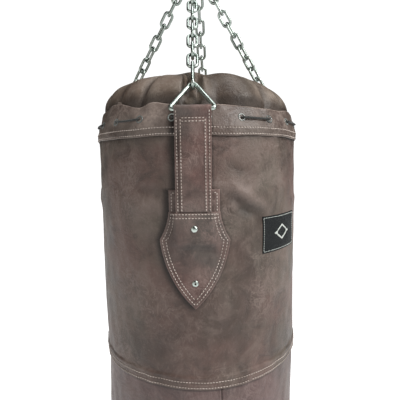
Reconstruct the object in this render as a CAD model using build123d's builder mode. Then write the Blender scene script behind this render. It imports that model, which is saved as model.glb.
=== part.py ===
from build123d import *
import math
import os

# Heavy leather punching bag on four chains, with its ring and ball swivel.
# Millimetres, +Z up. The origin is the centre of the swivel's upper eye, which the
# bag hangs from, so the whole object lies below it. The front strap is on -Y.

os.makedirs("parts", exist_ok=True)

# ---------------------------------------------------------------- driving dimensions
BAG_R = 175.0               # outer radius of the leather body
LEATHER = 2.2               # leather thickness
GAP = 0.1                   # daylight between stitched layers
BAG_BOTTOM = -1157.0        # heights below are measured from the collar's lower edge
SEAM_LAP = 17.0             # how far one body panel laps over the next
UPPER_SEAM = -369.0         # lower edge of the upper panel
LOWER_SEAM = -762.0         # lower edge of the middle panel

COLLAR_BAND = 12.0          # height of the collar's stitched straight band
COLLAR_TOP = 41.0
COLLAR_TOP_R = 168.0        # cinched in by the drawcord
CAP_RISE = 62.0             # height of the domed cap above the collar
CAP_CROWN_MID = (0.42, 0.945)   # shares of the cap's radius and rise, crown to rim
CAP_SHOULDER = (0.73, 0.75)
CAP_RIM_MID = (0.895, 0.44)
CAP_BASE_R = 162.6
CAP_SKIRT_R = 170.8
CAP_SKIRT_Z = 4.0

EYELET_COUNT = 22
EYELET_Z = 25.0
EYELET_PHASE = -1.5         # degrees the lacing is off the front strap's centre
EYELET_HOLE_R = 3.85
EYELET_BARREL_R = 4.15
EYELET_FLANGE_R = 6.0
EYELET_SHEET = 0.8
CORD_R = 1.5

STRAP_W = 50.0
STRAP_BACK = 178.6          # distance of the strap's back face from the bag's axis
STRAP_TAIL_Z = -150.0
BAR_Z = 34.0                # height of the triangle ring's base bar
FACING_W = 38.0
FACING_T = 1.8
FACING_TOP_Z = 23.0
COVER_TOP_Z = -105.0
EARS_TOP_Z = -74.0
EAR_SPAN = 72.0
PATCH_W = 100.0
SHOULDER_Z = -145.0
PATCH_TIP_Z = -245.5
RIVET_Z = (-128.0, -207.0)
RIVET_R = 2.0

TRIANGLE_WIRE_R = 3.0
TRIANGLE_HALF_BASE = 32.0
TRIANGLE_H = 47.0           # base bar to apex, wire centre to wire centre
TRIANGLE_CORNER_R = 3.5
TRIANGLE_APEX_R = 6.0

LINK_WIRE_R = 2.5
LINK_INNER = 23.0           # inside length of a chain link
LINK_INNER_W = 9.0
END_LINK_INNER = 42.0
LINKS = 10                  # ordinary links in each chain, above its long end link
LINK_PLAY = 0.1             # daylight between taut links

RING_WIRE_R = 4.0
RING_R = 29.0
RING_SPREAD = 9.5           # degrees from the ring's lowest point to the front chain

EYE_T = 10.0
EYE_OUTER_R = 20.0
EYE_BOSS_R = 8.0
EYE_BOSS_H = 6.0
EYE_BORE_R = 10.0
CUP_TOP = -22.0
CUP_BOTTOM = -46.0
CUP_R = 15.0
CUP_WALL = 3.0
CAP_NUT_BOTTOM = -50.0
CAP_SPIGOT = 3.0            # how far the housing cap screws in
CUP_ROOF = 4.0
SHANK_R = 5.0
NUT_HALF_WIDTH = 7.0         # centre to flat
NUT_H = 5.0
BALL_COUNT = 12
BALL_R = 2.0
BALL_TRACK_R = 9.0
BALL_Z = -37.9
RACE_T = 3.6
RACE_SPLIT = 1.3            # ball centre to the nearer face of each race
LOWER_EYE_Z = -72.0
LOWER_EYE_BORE_R = 10.0
LOWER_EYE_R = 17.0
LOWER_EYE_T = 8.0

# ---------------------------------------------------------------- derived dimensions
# The side straps are set back from square, and the back one stands a little to the right.
SIDES = {"front": -90.0, "right": 20.0, "back": 85.0, "left": 160.0}
BAR_R = STRAP_BACK + LEATHER + TRIANGLE_WIRE_R + 0.15
NUT_BOTTOM = BALL_Z + RACE_SPLIT + RACE_T
RING_TOP_Z = LOWER_EYE_Z - LOWER_EYE_BORE_R + RING_WIRE_R + 0.3
RING_Z = RING_TOP_Z - RING_R
FRONT_X = RING_R * math.sin(math.radians(RING_SPREAD))
FRONT_Z = RING_Z - RING_R * math.cos(math.radians(RING_SPREAD))


def chain_reach(play):
    """Ring wire centre to triangle wire centre along a straight chain."""
    pitch = LINK_INNER - play
    first = RING_WIRE_R + LINK_WIRE_R + play
    last = LINK_WIRE_R + TRIANGLE_WIRE_R + play
    return LINKS * pitch - first + END_LINK_INNER + 2 * LINK_WIRE_R - last


# The front and back chains are the taut ones, so they set the height the bag hangs at.
TAUT = chain_reach(LINK_PLAY) + TRIANGLE_H
COLLAR_Z = FRONT_Z - math.sqrt(TAUT**2 - BAR_R**2 - FRONT_X**2) - BAR_Z


def level(height):
    """Height above the collar's lower edge, as a height in the part's frame."""
    return COLLAR_Z + height


def outward_plane(azimuth, distance=0.0, height=0.0):
    """Plane facing away from the bag's axis, its X along the skin and its Y up."""
    a = math.radians(azimuth)
    out = Vector(math.cos(a), math.sin(a), 0)
    centre = out * distance + Vector(0, 0, level(height))
    return Plane(origin=centre, x_dir=(-math.sin(a), math.cos(a), 0), z_dir=out)


def section_plane(azimuth):
    """Upright plane through the bag's axis, its X pointing outward."""
    a = math.radians(azimuth)
    return Plane(
        origin=(0, 0, level(0)),
        x_dir=(math.cos(a), math.sin(a), 0),
        z_dir=(math.sin(a), -math.cos(a), 0),
    )


def save(builder, name):
    builder.part.label = name
    export_step(builder.part, f"parts/{name}.step")


# ---------------------------------------------------------------- swivel, fixed half
with BuildPart() as upper_eye:
    with BuildSketch(Plane.XZ.offset(-EYE_T / 2)):
        Circle(EYE_OUTER_R)
        Circle(EYE_BORE_R, mode=Mode.SUBTRACT)
    extrude(amount=EYE_T)
    with BuildSketch(Plane.XY.offset(CUP_TOP)):
        Circle(EYE_BOSS_R)
    extrude(amount=EYE_BOSS_H)
save(upper_eye, "swivel_upper_eye")

with BuildPart() as housing:
    with BuildSketch(Plane.XY.offset(CUP_BOTTOM)):
        Circle(CUP_R)
    extrude(amount=CUP_TOP - CUP_BOTTOM)
    with BuildSketch(Plane.XY.offset(CUP_BOTTOM)):
        Circle(CUP_R - CUP_WALL)
    extrude(amount=CUP_TOP - CUP_BOTTOM - CUP_ROOF, mode=Mode.SUBTRACT)
    fillet(housing.edges().filter_by(GeomType.CIRCLE).group_by(Axis.Z)[-1], 2)
save(housing, "swivel_housing")

with BuildPart() as housing_cap:
    with BuildSketch(Plane.XY.offset(CAP_NUT_BOTTOM)):
        Circle(CUP_R)
    extrude(amount=CUP_BOTTOM - CAP_NUT_BOTTOM)
    with BuildSketch(Plane.XY.offset(CUP_BOTTOM)):
        Circle(CUP_R - CUP_WALL - 0.05)
    extrude(amount=CAP_SPIGOT)
    with Locations((0, 0, CUP_BOTTOM)):
        Cylinder(SHANK_R + 0.4, 20, mode=Mode.SUBTRACT)
save(housing_cap, "swivel_housing_cap")


def bearing_race(bottom, top, inner_r):
    """Flat thrust race with a ball groove."""
    with BuildPart() as race:
        with BuildSketch(Plane.XY.offset(bottom)):
            Circle(CUP_R - CUP_WALL - 0.1)
            Circle(inner_r, mode=Mode.SUBTRACT)
        extrude(amount=top - bottom)
        with Locations((0, 0, BALL_Z)):
            Torus(BALL_TRACK_R, BALL_R + 0.05, mode=Mode.SUBTRACT)
    return race


lower_race = bearing_race(CUP_BOTTOM + CAP_SPIGOT, BALL_Z - RACE_SPLIT, SHANK_R + 0.6)
save(lower_race, "bearing_lower_race")
upper_race = bearing_race(BALL_Z + RACE_SPLIT, NUT_BOTTOM, SHANK_R)
save(upper_race, "bearing_upper_race")

with BuildPart() as balls:
    with Locations((0, 0, BALL_Z)):
        with PolarLocations(BALL_TRACK_R, BALL_COUNT):
            Sphere(BALL_R)
save(balls, "bearing_balls")

# ---------------------------------------------------------------- swivel, turning half
with BuildPart() as shank_nut:
    with BuildSketch(Plane.XY.offset(NUT_BOTTOM)):
        RegularPolygon(NUT_HALF_WIDTH, 6, major_radius=False)
        Circle(SHANK_R, mode=Mode.SUBTRACT)
    extrude(amount=NUT_H)
save(shank_nut, "swivel_shank_nut")

SHANK_ROOT_Z = LOWER_EYE_Z + LOWER_EYE_BORE_R + 3
with BuildPart() as lower_eye:
    with BuildSketch(Plane.YZ.offset(-LOWER_EYE_T / 2)):
        with Locations((0, LOWER_EYE_Z)):
            Circle(LOWER_EYE_R)
            Circle(LOWER_EYE_BORE_R, mode=Mode.SUBTRACT)
    extrude(amount=LOWER_EYE_T)
    bore_edges = lower_eye.edges().filter_by(GeomType.CIRCLE).sort_by(SortBy.RADIUS)[:2]
    fillet(bore_edges, 2.5)
    with BuildSketch(Plane.XY.offset(SHANK_ROOT_Z)):
        Circle(SHANK_R)
    extrude(amount=NUT_BOTTOM + NUT_H + 1 - SHANK_ROOT_Z)
save(lower_eye, "swivel_lower_eye")

# ---------------------------------------------------------------- master ring
with BuildPart() as master_ring:
    with Locations(Location((0, 0, RING_Z), (90, 0, 0))):
        Torus(RING_R, RING_WIRE_R)
save(master_ring, "master_ring")


# ---------------------------------------------------------------- chains
def bent_link(inner_length):
    """One welded oval link. It lies in XY, its long side on X, top end at the origin."""
    straight = inner_length - LINK_INNER_W
    turn_r = LINK_INNER_W / 2 + LINK_WIRE_R
    with BuildPart() as link:
        with BuildLine() as path:
            near = turn_r
            far = turn_r + straight
            Line((near, turn_r), (far, turn_r))
            ThreePointArc((far, turn_r), (far + turn_r, 0), (far, -turn_r))
            Line((far, -turn_r), (near, -turn_r))
            ThreePointArc((near, -turn_r), (0, 0), (near, turn_r))
        with BuildSketch(Plane(origin=(near, turn_r, 0), z_dir=(1, 0, 0))):
            Circle(LINK_WIRE_R)
        sweep(path=path.wires()[0])
    return link


short_link = bent_link(LINK_INNER)
end_link = bent_link(END_LINK_INNER)


def roll_about(direction, wire, reference):
    """Angle about a chain's direction that sets a link square to a wire."""
    square = wire - direction * wire.dot(direction)
    side = direction.cross(reference)
    return math.degrees(math.atan2(square.dot(side), square.dot(reference)))


def build_chain(start, end, ring_tangent, bar_direction):
    """Links from the ring's wire centre to the triangle's apex wire centre."""
    direction = (end - start).normalized()
    reference = bar_direction - direction * bar_direction.dot(direction)
    reference = reference.normalized()
    side = direction.cross(reference)
    reach = (end - start).length
    play = LINK_PLAY + (chain_reach(LINK_PLAY) - reach) / (LINKS + 2)
    first_roll = roll_about(direction, ring_tangent, reference)
    # Neighbouring links are a quarter turn apart, and the rest of the twist that the
    # two end wires ask for is shared between the joints.
    spare = (-first_roll - LINKS * 90.0 + 90.0) % 180.0 - 90.0
    step = 90.0 + spare / LINKS
    with BuildPart() as chain:
        for i in range(LINKS + 1):
            link = end_link if i == LINKS else short_link
            top = i * (LINK_INNER - play) - RING_WIRE_R - LINK_WIRE_R - play
            roll = math.radians(first_roll + i * step)
            normal = reference * math.cos(roll) + side * math.sin(roll)
            place = Plane(origin=start + direction * top, x_dir=direction, z_dir=normal)
            with Locations(Location(place)):
                add(link.part)
    print(f"chain reach {reach:.2f}, play {play:.3f}, twist per joint {step - 90:.2f}")
    return chain


def ring_point(angle):
    """Centre of the master ring's wire, at an angle from its lowest point."""
    a = math.radians(angle)
    return Vector(RING_R * math.sin(a), 0, RING_Z - RING_R * math.cos(a))


SIDE_BAR_X = BAR_R * math.cos(math.radians(SIDES["right"]))
SIDE_ANGLE = math.degrees(math.atan2(SIDE_BAR_X, RING_Z - level(BAR_Z)))
RING_ANGLES = {
    "front": -RING_SPREAD,
    "back": RING_SPREAD,
    "right": SIDE_ANGLE,
    "left": -SIDE_ANGLE,
}

for side, azimuth in SIDES.items():
    a = math.radians(azimuth)
    bar = Vector(BAR_R * math.cos(a), BAR_R * math.sin(a), level(BAR_Z))
    hang = ring_point(RING_ANGLES[side])
    # The triangle keeps its bar level, and leans in the upright plane of its strap.
    aim = hang - bar
    along = Vector(-math.sin(a), math.cos(a), 0)
    lean = (aim - along * aim.dot(along)).normalized()
    apex = bar + lean * TRIANGLE_H
    theta = math.radians(RING_ANGLES[side])
    tangent = Vector(math.cos(theta), 0, math.sin(theta))
    save(build_chain(hang, apex, tangent, along), f"chain_{side}")

    apex_half = math.atan2(TRIANGLE_HALF_BASE, TRIANGLE_H)
    for _ in range(6):
        rise = TRIANGLE_H + TRIANGLE_APEX_R / math.sin(apex_half) - TRIANGLE_APEX_R
        apex_half = math.atan2(TRIANGLE_HALF_BASE, rise)
    with BuildPart() as triangle:
        with BuildLine(Plane(origin=bar, x_dir=along, z_dir=along.cross(lean))) as path:
            FilletPolyline(
                (-TRIANGLE_HALF_BASE, 0),
                (TRIANGLE_HALF_BASE, 0),
                (0, rise),
                radius=[TRIANGLE_CORNER_R, TRIANGLE_CORNER_R, TRIANGLE_APEX_R],
                close=True,
            )
        with BuildSketch(Plane(origin=bar, z_dir=along)):
            Circle(TRIANGLE_WIRE_R)
        sweep(path=path.wires()[0])
    save(triangle, f"triangle_ring_{side}")

# ---------------------------------------------------------------- body panels
INNER_R = BAG_R - LEATHER
LAP_R = BAG_R + GAP


def turned(profile):
    """Solid of revolution from (radius, height) points given above the collar edge."""
    with BuildPart() as shell:
        with BuildSketch(Plane.XZ):
            with BuildLine():
                Polyline(*[(r, level(z)) for r, z in profile], close=True)
            make_face()
        revolve(axis=Axis.Z)
    return shell


def body_panel(top, bottom, lapped):
    """Tube of leather. A lapped panel steps out over the one below it."""
    if not lapped:
        return turned([(INNER_R, bottom), (BAG_R, bottom), (BAG_R, top), (INNER_R, top)])
    step = bottom + SEAM_LAP
    return turned([
        (LAP_R, bottom),
        (LAP_R + LEATHER, bottom),
        (LAP_R + LEATHER, step + LEATHER),
        (BAG_R, step + LEATHER + 2),
        (BAG_R, top),
        (INNER_R, top),
        (INNER_R, step + GAP),
        (LAP_R, step + GAP),
    ])


upper_panel = body_panel(CAP_SKIRT_Z + 6, UPPER_SEAM, True)
with upper_panel:
    for azimuth in SIDES.values():
        for z in RIVET_Z:
            with Locations(Location(outward_plane(azimuth, BAG_R, z))):
                Cylinder(RIVET_R + 0.05, 20, mode=Mode.SUBTRACT)
save(upper_panel, "upper_panel")
save(body_panel(UPPER_SEAM + SEAM_LAP, LOWER_SEAM, True), "middle_panel")
save(body_panel(LOWER_SEAM + SEAM_LAP, BAG_BOTTOM + LEATHER, False), "lower_panel")

with BuildPart() as bottom_disc:
    with BuildSketch(Plane.XY.offset(level(BAG_BOTTOM))):
        Circle(BAG_R)
    extrude(amount=LEATHER)
save(bottom_disc, "bottom_disc")

LINER_OUT = INNER_R - 1.2
LINER_T = 2.0
LINER_FLOOR = BAG_BOTTOM + LEATHER + GAP
liner = turned([
    (0, LINER_FLOOR),
    (LINER_OUT, LINER_FLOOR),
    (LINER_OUT, CAP_SKIRT_Z - 1 - GAP),
    (LINER_OUT - LINER_T, CAP_SKIRT_Z - 1 - GAP),
    (LINER_OUT - LINER_T, LINER_FLOOR + LINER_T),
    (0, LINER_FLOOR + LINER_T),
])
save(liner, "inner_liner")


# ---------------------------------------------------------------- domed cap and filling
def domed(base_r, base_z, edge_r, rise, floor_r, floor_z):
    """Half section of a dome on a tapering skirt, closed down to its floor."""
    with BuildPart() as dome:
        with BuildSketch(Plane.XZ):
            with BuildLine():
                crown = (0, level(base_z + rise))
                crown_mid, shoulder, rim_mid, rim = [
                    (base_r * out, level(base_z + rise * up))
                    for out, up in (CAP_CROWN_MID, CAP_SHOULDER, CAP_RIM_MID, (1, 0))
                ]
                ThreePointArc(crown, crown_mid, shoulder)
                ThreePointArc(shoulder, rim_mid, rim)
                Polyline(
                    rim,
                    (edge_r, level(CAP_SKIRT_Z)),
                    (floor_r, level(floor_z)),
                    (0, level(floor_z)),
                    crown,
                )
            make_face()
        revolve(axis=Axis.Z)
    return dome


INSIDE = LEATHER + GAP
cap = domed(CAP_BASE_R, COLLAR_TOP, CAP_SKIRT_R, CAP_RISE, CAP_SKIRT_R, CAP_SKIRT_Z - 1)
cap_hollow = domed(
    CAP_BASE_R - LEATHER,
    COLLAR_TOP,
    CAP_SKIRT_R - LEATHER,
    CAP_RISE - LEATHER,
    CAP_SKIRT_R - LEATHER,
    CAP_SKIRT_Z - 2,
)
with cap:
    add(cap_hollow.part, mode=Mode.SUBTRACT)
save(cap, "top_cap")

core_r = LINER_OUT - LINER_T - GAP
core = domed(
    CAP_BASE_R - INSIDE - GAP,
    COLLAR_TOP,
    CAP_SKIRT_R - INSIDE - GAP,
    CAP_RISE - INSIDE,
    core_r,
    LINER_FLOOR + LINER_T + GAP,
)
save(core, "filling_core")

# ---------------------------------------------------------------- collar
COLLAR_R = LAP_R + LEATHER
collar = turned([
    (LAP_R, 0),
    (COLLAR_R, 0),
    (COLLAR_R, COLLAR_BAND),
    (COLLAR_TOP_R, COLLAR_TOP),
    (COLLAR_TOP_R - LEATHER - 0.1, COLLAR_TOP),
    (LAP_R, COLLAR_BAND + 0.4),
])
COLLAR_LEAN = math.atan2(COLLAR_R - COLLAR_TOP_R, COLLAR_TOP - COLLAR_BAND)
EYELET_R = COLLAR_R - (EYELET_Z - COLLAR_BAND) * math.tan(COLLAR_LEAN)
EYELET_STEP = 360.0 / EYELET_COUNT


def eyelet_azimuth(index):
    """Azimuth of an eyelet. The front strap lies between eyelets 0 and 1."""
    return SIDES["front"] + EYELET_PHASE + (index - 0.5) * EYELET_STEP


def eyelet_plane(index, rise=0.0):
    """Plane on the collar's cone at an eyelet, facing out along the cone's normal."""
    a = math.radians(eyelet_azimuth(index))
    out = Vector(math.cos(a), math.sin(a), 0)
    normal = out * math.cos(COLLAR_LEAN) + Vector(0, 0, math.sin(COLLAR_LEAN))
    centre = out * EYELET_R + Vector(0, 0, level(EYELET_Z)) + normal * rise
    return Plane(origin=centre, x_dir=(-math.sin(a), math.cos(a), 0), z_dir=normal)


with collar:
    for i in range(EYELET_COUNT):
        with Locations(Location(eyelet_plane(i))):
            Cylinder(EYELET_BARREL_R + 0.05, 12, mode=Mode.SUBTRACT)
save(collar, "collar_band")

with BuildPart() as eyelets:
    for i in range(EYELET_COUNT):
        with BuildSketch(eyelet_plane(i, 0.1)):
            Circle(EYELET_FLANGE_R)
            Circle(EYELET_HOLE_R, mode=Mode.SUBTRACT)
        extrude(amount=EYELET_SHEET)
        with BuildSketch(eyelet_plane(i, 0.1)):
            Circle(EYELET_BARREL_R)
            Circle(EYELET_HOLE_R, mode=Mode.SUBTRACT)
        extrude(amount=-(LEATHER + 0.1 + EYELET_SHEET + 0.2))
save(eyelets, "eyelets")

with BuildPart() as eyelet_washers:
    for i in range(EYELET_COUNT):
        with BuildSketch(eyelet_plane(i, -LEATHER - 0.2)):
            Circle(EYELET_FLANGE_R)
            Circle(EYELET_BARREL_R + 0.02, mode=Mode.SUBTRACT)
        extrude(amount=-EYELET_SHEET)
save(eyelet_washers, "eyelet_washers")

# ---------------------------------------------------------------- drawcord
# The cord weaves out through one eyelet and in through the next, all round the collar.
CORD_OUT = 3.1              # cord centre outside and inside the collar's outer face
CORD_IN = -4.8
CORD_SHIFT = 1.7            # the crossing's sideways run each side of an eyelet
KNOT_INDEX = 12             # the ends are tied on the outside stretch after this eyelet
KNOT_LENGTH = 10.0
KNOT_R = 4.0
KNOT_OUT = 4.5


def round_bag(radius, azimuth, along=0.0):
    a = math.radians(azimuth) + along / radius
    return (radius * math.cos(a), radius * math.sin(a), level(EYELET_Z))


knot_azimuth = eyelet_azimuth(KNOT_INDEX + 0.5)
route = [round_bag(EYELET_R + KNOT_OUT, knot_azimuth, KNOT_LENGTH / 2)]
radii = []
for k in range(1, EYELET_COUNT + 1):
    here = eyelet_azimuth(KNOT_INDEX + k)
    going_in = k % 2 == 1
    before, after = (CORD_OUT, CORD_IN) if going_in else (CORD_IN, CORD_OUT)
    route.append(round_bag(EYELET_R + before, here, -CORD_SHIFT))
    route.append(round_bag(EYELET_R + after, here, CORD_SHIFT))
    radii += [CORD_R * 2, CORD_R * 2]
    if k < EYELET_COUNT:
        route.append(round_bag(EYELET_R + after, here + EYELET_STEP / 2))
        radii.append(60.0)
route.append(round_bag(EYELET_R + KNOT_OUT, knot_azimuth, -KNOT_LENGTH / 2))

with BuildPart() as drawcord:
    with BuildLine() as cord_path:
        FilletPolyline(*route, radius=radii)
    cord_wire = cord_path.wires()[0]
    with BuildSketch(Plane(origin=cord_wire @ 0, z_dir=cord_wire % 0)):
        Circle(CORD_R)
    sweep(path=cord_wire)
save(drawcord, "drawcord")
cord_length = cord_wire.length
print(f"drawcord {cord_length:.0f} long, volume ratio "
      f"{drawcord.part.volume / (math.pi * CORD_R**2 * cord_length):.4f}, radii {set(radii)}")

with BuildPart() as knot:
    first = Vector(*route[0])
    last = Vector(*route[-1])
    with BuildSketch(Plane(origin=last, z_dir=first - last)):
        Circle(KNOT_R)
    extrude(amount=(first - last).length)
    chamfer(knot.edges(), 1.2)
save(knot, "drawcord_knot")


# ---------------------------------------------------------------- hanging straps
def patch_outline(top):
    """Spearhead outline with two straight-sided ears, cut level at its top."""
    ear = EAR_SPAN / 2
    shoulder = PATCH_W / 2
    with BuildLine() as outline:
        Polyline((-ear, COVER_TOP_Z), (-ear, top), (ear, top), (ear, COVER_TOP_Z))
        ThreePointArc((ear, COVER_TOP_Z), (41, -127), (shoulder, SHOULDER_Z))
        ThreePointArc((shoulder, SHOULDER_Z), (35, -197), (0, PATCH_TIP_Z))
        ThreePointArc((0, PATCH_TIP_Z), (-35, -197), (-shoulder, SHOULDER_Z))
        ThreePointArc((-shoulder, SHOULDER_Z), (-41, -127), (-ear, COVER_TOP_Z))
    return outline.edges()


BASE_IN = BAG_R + GAP
BASE_OUT = BASE_IN + LEATHER
COVER_IN = BASE_OUT + GAP
COVER_OUT = COVER_IN + LEATHER
STRAP_T = 2 * LEATHER
STRAP_FACE = STRAP_BACK + STRAP_T
BULGE_FACE = STRAP_FACE + LEATHER + GAP
LOOP_R = TRIANGLE_WIRE_R + 0.15


def rivet_holes(azimuth, depth_z):
    for z in depth_z:
        with Locations(Location(outward_plane(azimuth, BAG_R, z))):
            Cylinder(RIVET_R + 0.05, 60, mode=Mode.SUBTRACT)


for side, azimuth in SIDES.items():
    outside = outward_plane(azimuth)
    with BuildPart() as base_patch:
        with BuildSketch(outside.offset(BAG_R - 20)):
            make_face(patch_outline(EARS_TOP_Z))
        extrude(amount=40)
        with Locations((0, 0, level(-150))):
            Cylinder(BASE_OUT, 300, mode=Mode.INTERSECT)
            Cylinder(BASE_IN, 300, mode=Mode.SUBTRACT)
        rivet_holes(azimuth, RIVET_Z)
    save(base_patch, f"base_patch_{side}")

    with BuildPart() as cover_patch:
        with BuildSketch(outside.offset(BAG_R - 20)):
            make_face(patch_outline(COVER_TOP_Z - 0.01))
        extrude(amount=40)
        with Locations((0, 0, level(-150))):
            Cylinder(COVER_OUT, 300, mode=Mode.INTERSECT)
            Cylinder(COVER_IN, 300, mode=Mode.SUBTRACT)
        with BuildSketch(outside.offset(COVER_IN)):
            with Locations((0, (COVER_TOP_Z + STRAP_TAIL_Z) / 2 - LEATHER / 2)):
                Rectangle(STRAP_W + 2 * LEATHER, COVER_TOP_Z - STRAP_TAIL_Z + LEATHER)
        extrude(amount=BULGE_FACE - COVER_IN)
        with BuildSketch(outside.offset(BAG_R - 20)):
            with Locations((0, (COVER_TOP_Z + STRAP_TAIL_Z) / 2 + 10)):
                Rectangle(STRAP_W + 2 * GAP, COVER_TOP_Z - STRAP_TAIL_Z + 20 + 2 * GAP)
        extrude(amount=STRAP_FACE + GAP - (BAG_R - 20), mode=Mode.SUBTRACT)
        rivet_holes(azimuth, RIVET_Z)
    save(cover_patch, f"cover_patch_{side}")

    with BuildPart() as strap:
        with BuildSketch(section_plane(azimuth)):
            with BuildLine():
                Polyline(
                    (BAR_R + LOOP_R + LEATHER, BAR_Z),
                    (STRAP_FACE, FACING_TOP_Z),
                    (STRAP_FACE, STRAP_TAIL_Z),
                    (STRAP_BACK, STRAP_TAIL_Z),
                    (STRAP_BACK, BAR_Z),
                )
                ThreePointArc(
                    (STRAP_BACK, BAR_Z),
                    (BAR_R, BAR_Z + LOOP_R + LEATHER),
                    (BAR_R + LOOP_R + LEATHER, BAR_Z),
                )
            make_face()
            with Locations((BAR_R, BAR_Z)):
                Circle(LOOP_R, mode=Mode.SUBTRACT)
        extrude(amount=STRAP_W / 2, both=True)
        rivet_holes(azimuth, RIVET_Z[:1])
    save(strap, f"strap_{side}")

    facing_bottom = COVER_TOP_Z + 0.3
    with BuildPart() as facing:
        with BuildSketch(outside.offset(STRAP_FACE)):
            with Locations((0, (FACING_TOP_Z + facing_bottom) / 2)):
                Rectangle(FACING_W, FACING_TOP_Z - facing_bottom)
        extrude(amount=FACING_T)
    save(facing, f"strap_facing_{side}")

# ---------------------------------------------------------------- rivets
RIVET_HEAD_R = 4.8
RIVET_HEAD_T = 2.0
BURR_T = 0.8
BURR_R = 5.0
TUBULAR_BORE_R = 1.3
BURR_FACE = INNER_R - GAP
RIVET_SEATS = (BULGE_FACE, COVER_OUT)


def rivet_set(z, seat, tubular):
    """One rivet on each side of the bag, its head outside and its end inside."""
    with BuildPart() as rivets:
        for azimuth in SIDES.values():
            with BuildSketch(outward_plane(azimuth, BURR_FACE - BURR_T - 0.1, z)):
                Circle(RIVET_R)
            extrude(amount=seat - (BURR_FACE - BURR_T - 0.1))
            with BuildSketch(outward_plane(azimuth, seat, z)):
                Circle(RIVET_HEAD_R)
            extrude(amount=RIVET_HEAD_T, taper=28)
            if tubular:
                with Locations(Location(outward_plane(azimuth, seat + RIVET_HEAD_T, z))):
                    Cylinder(TUBULAR_BORE_R, 6, mode=Mode.SUBTRACT)
    return rivets


save(rivet_set(RIVET_Z[0], RIVET_SEATS[0], False), "rivets_domed")
save(rivet_set(RIVET_Z[1], RIVET_SEATS[1], True), "rivets_tubular")

with BuildPart() as burrs:
    for azimuth in SIDES.values():
        for z in RIVET_Z:
            with BuildSketch(outward_plane(azimuth, BURR_FACE, z)):
                Circle(BURR_R)
                Circle(RIVET_R + 0.02, mode=Mode.SUBTRACT)
            extrude(amount=-BURR_T)
save(burrs, "rivet_burrs")

# ---------------------------------------------------------------- woven label
LABEL_AZIMUTH = -40.0
LABEL_W = 95.0
LABEL_H = 56.0
LABEL_Z = -146.0
LABEL_T = 1.0
with BuildPart() as label:
    with BuildSketch(outward_plane(LABEL_AZIMUTH, BAG_R - 30)):
        with Locations((0, LABEL_Z)):
            chord = 2 * BAG_R * math.sin(LABEL_W / 2 / BAG_R)
            Rectangle(chord, LABEL_H)
    extrude(amount=40)
    with Locations((0, 0, level(LABEL_Z))):
        Cylinder(BASE_IN + LABEL_T, 100, mode=Mode.INTERSECT)
        Cylinder(BASE_IN, 100, mode=Mode.SUBTRACT)
save(label, "label")

print(f"collar edge at {COLLAR_Z:.2f}, bottom at {level(BAG_BOTTOM):.2f}, "
      f"ring centre {RING_Z:.2f}, side ring angle {SIDE_ANGLE:.2f}")
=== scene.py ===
import math

import bmesh
import bpy
import numpy as np
from mathutils import Matrix, Vector


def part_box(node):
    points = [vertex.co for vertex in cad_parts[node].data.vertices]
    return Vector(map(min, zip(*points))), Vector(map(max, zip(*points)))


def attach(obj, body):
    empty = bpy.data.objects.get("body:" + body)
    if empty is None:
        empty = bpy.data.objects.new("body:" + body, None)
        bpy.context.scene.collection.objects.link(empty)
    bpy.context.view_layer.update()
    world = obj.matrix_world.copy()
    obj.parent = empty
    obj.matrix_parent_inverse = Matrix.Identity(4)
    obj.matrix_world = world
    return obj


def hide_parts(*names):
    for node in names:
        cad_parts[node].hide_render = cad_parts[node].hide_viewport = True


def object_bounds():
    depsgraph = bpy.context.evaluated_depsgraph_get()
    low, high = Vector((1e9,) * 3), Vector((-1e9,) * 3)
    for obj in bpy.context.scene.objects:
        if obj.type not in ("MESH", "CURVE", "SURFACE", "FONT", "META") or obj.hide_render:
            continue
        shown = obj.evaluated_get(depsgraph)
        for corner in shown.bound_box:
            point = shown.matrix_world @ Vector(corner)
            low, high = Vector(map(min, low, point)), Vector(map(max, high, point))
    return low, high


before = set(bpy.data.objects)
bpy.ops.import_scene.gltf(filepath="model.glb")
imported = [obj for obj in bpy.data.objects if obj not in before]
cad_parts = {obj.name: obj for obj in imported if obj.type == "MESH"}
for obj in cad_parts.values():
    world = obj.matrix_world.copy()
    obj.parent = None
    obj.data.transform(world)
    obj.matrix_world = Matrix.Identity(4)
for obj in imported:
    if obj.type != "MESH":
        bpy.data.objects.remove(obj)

# The heavy bag's visual model. Sizes are millimetres in the bag's own terms: azimuths
# turn about the bag's axis in degrees, and heights are measured from the collar's lower
# edge. Shape.piece() turns them into the frame's metres.

cad_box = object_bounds()
MM = 0.001
COLLAR_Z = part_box("collar_band")[0].z


def node_height(node, corner):
    """Height of a CAD node's lowest (0) or highest (1) point above the collar's edge."""
    return (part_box(node)[corner].z - COLLAR_Z) / MM


# ---------------- sizes
BAG_R = 175.0
LEATHER = 2.2
LAP_R = BAG_R + 0.1 + LEATHER       # outer face of whatever laps over the body
SEAM_LAP = 17.0
UPPER_SEAM = node_height("upper_panel", 0)
LOWER_SEAM = node_height("middle_panel", 0)
BAG_BOTTOM = node_height("bottom_disc", 0)
SKIN_TOP = 10.0                     # the upper panel's cut edge, hidden by the collar

COLLAR_BAND = 12.0
COLLAR_TOP = node_height("collar_band", 1)
COLLAR_TOP_R = 168.0
COLLAR_SLOPE = (LAP_R - COLLAR_TOP_R) / (COLLAR_TOP - COLLAR_BAND)
CAP_RISE = node_height("top_cap", 1) - COLLAR_TOP
CAP_BASE_R = 162.6

EYELETS = 22
EYELET_Z = 25.0
EYELET_PHASE = -1.5
EYELET_STEP = 360.0 / EYELETS
EYELET_HOLE_R = 3.8
EYELET_FLANGE_R = 6.0
CORD_R = 1.5
CORD_OUT = 3.1
CORD_IN = -4.8
CORD_SHIFT = 1.7
KNOT_INDEX = 12
KNOT_OUT = 4.5

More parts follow.
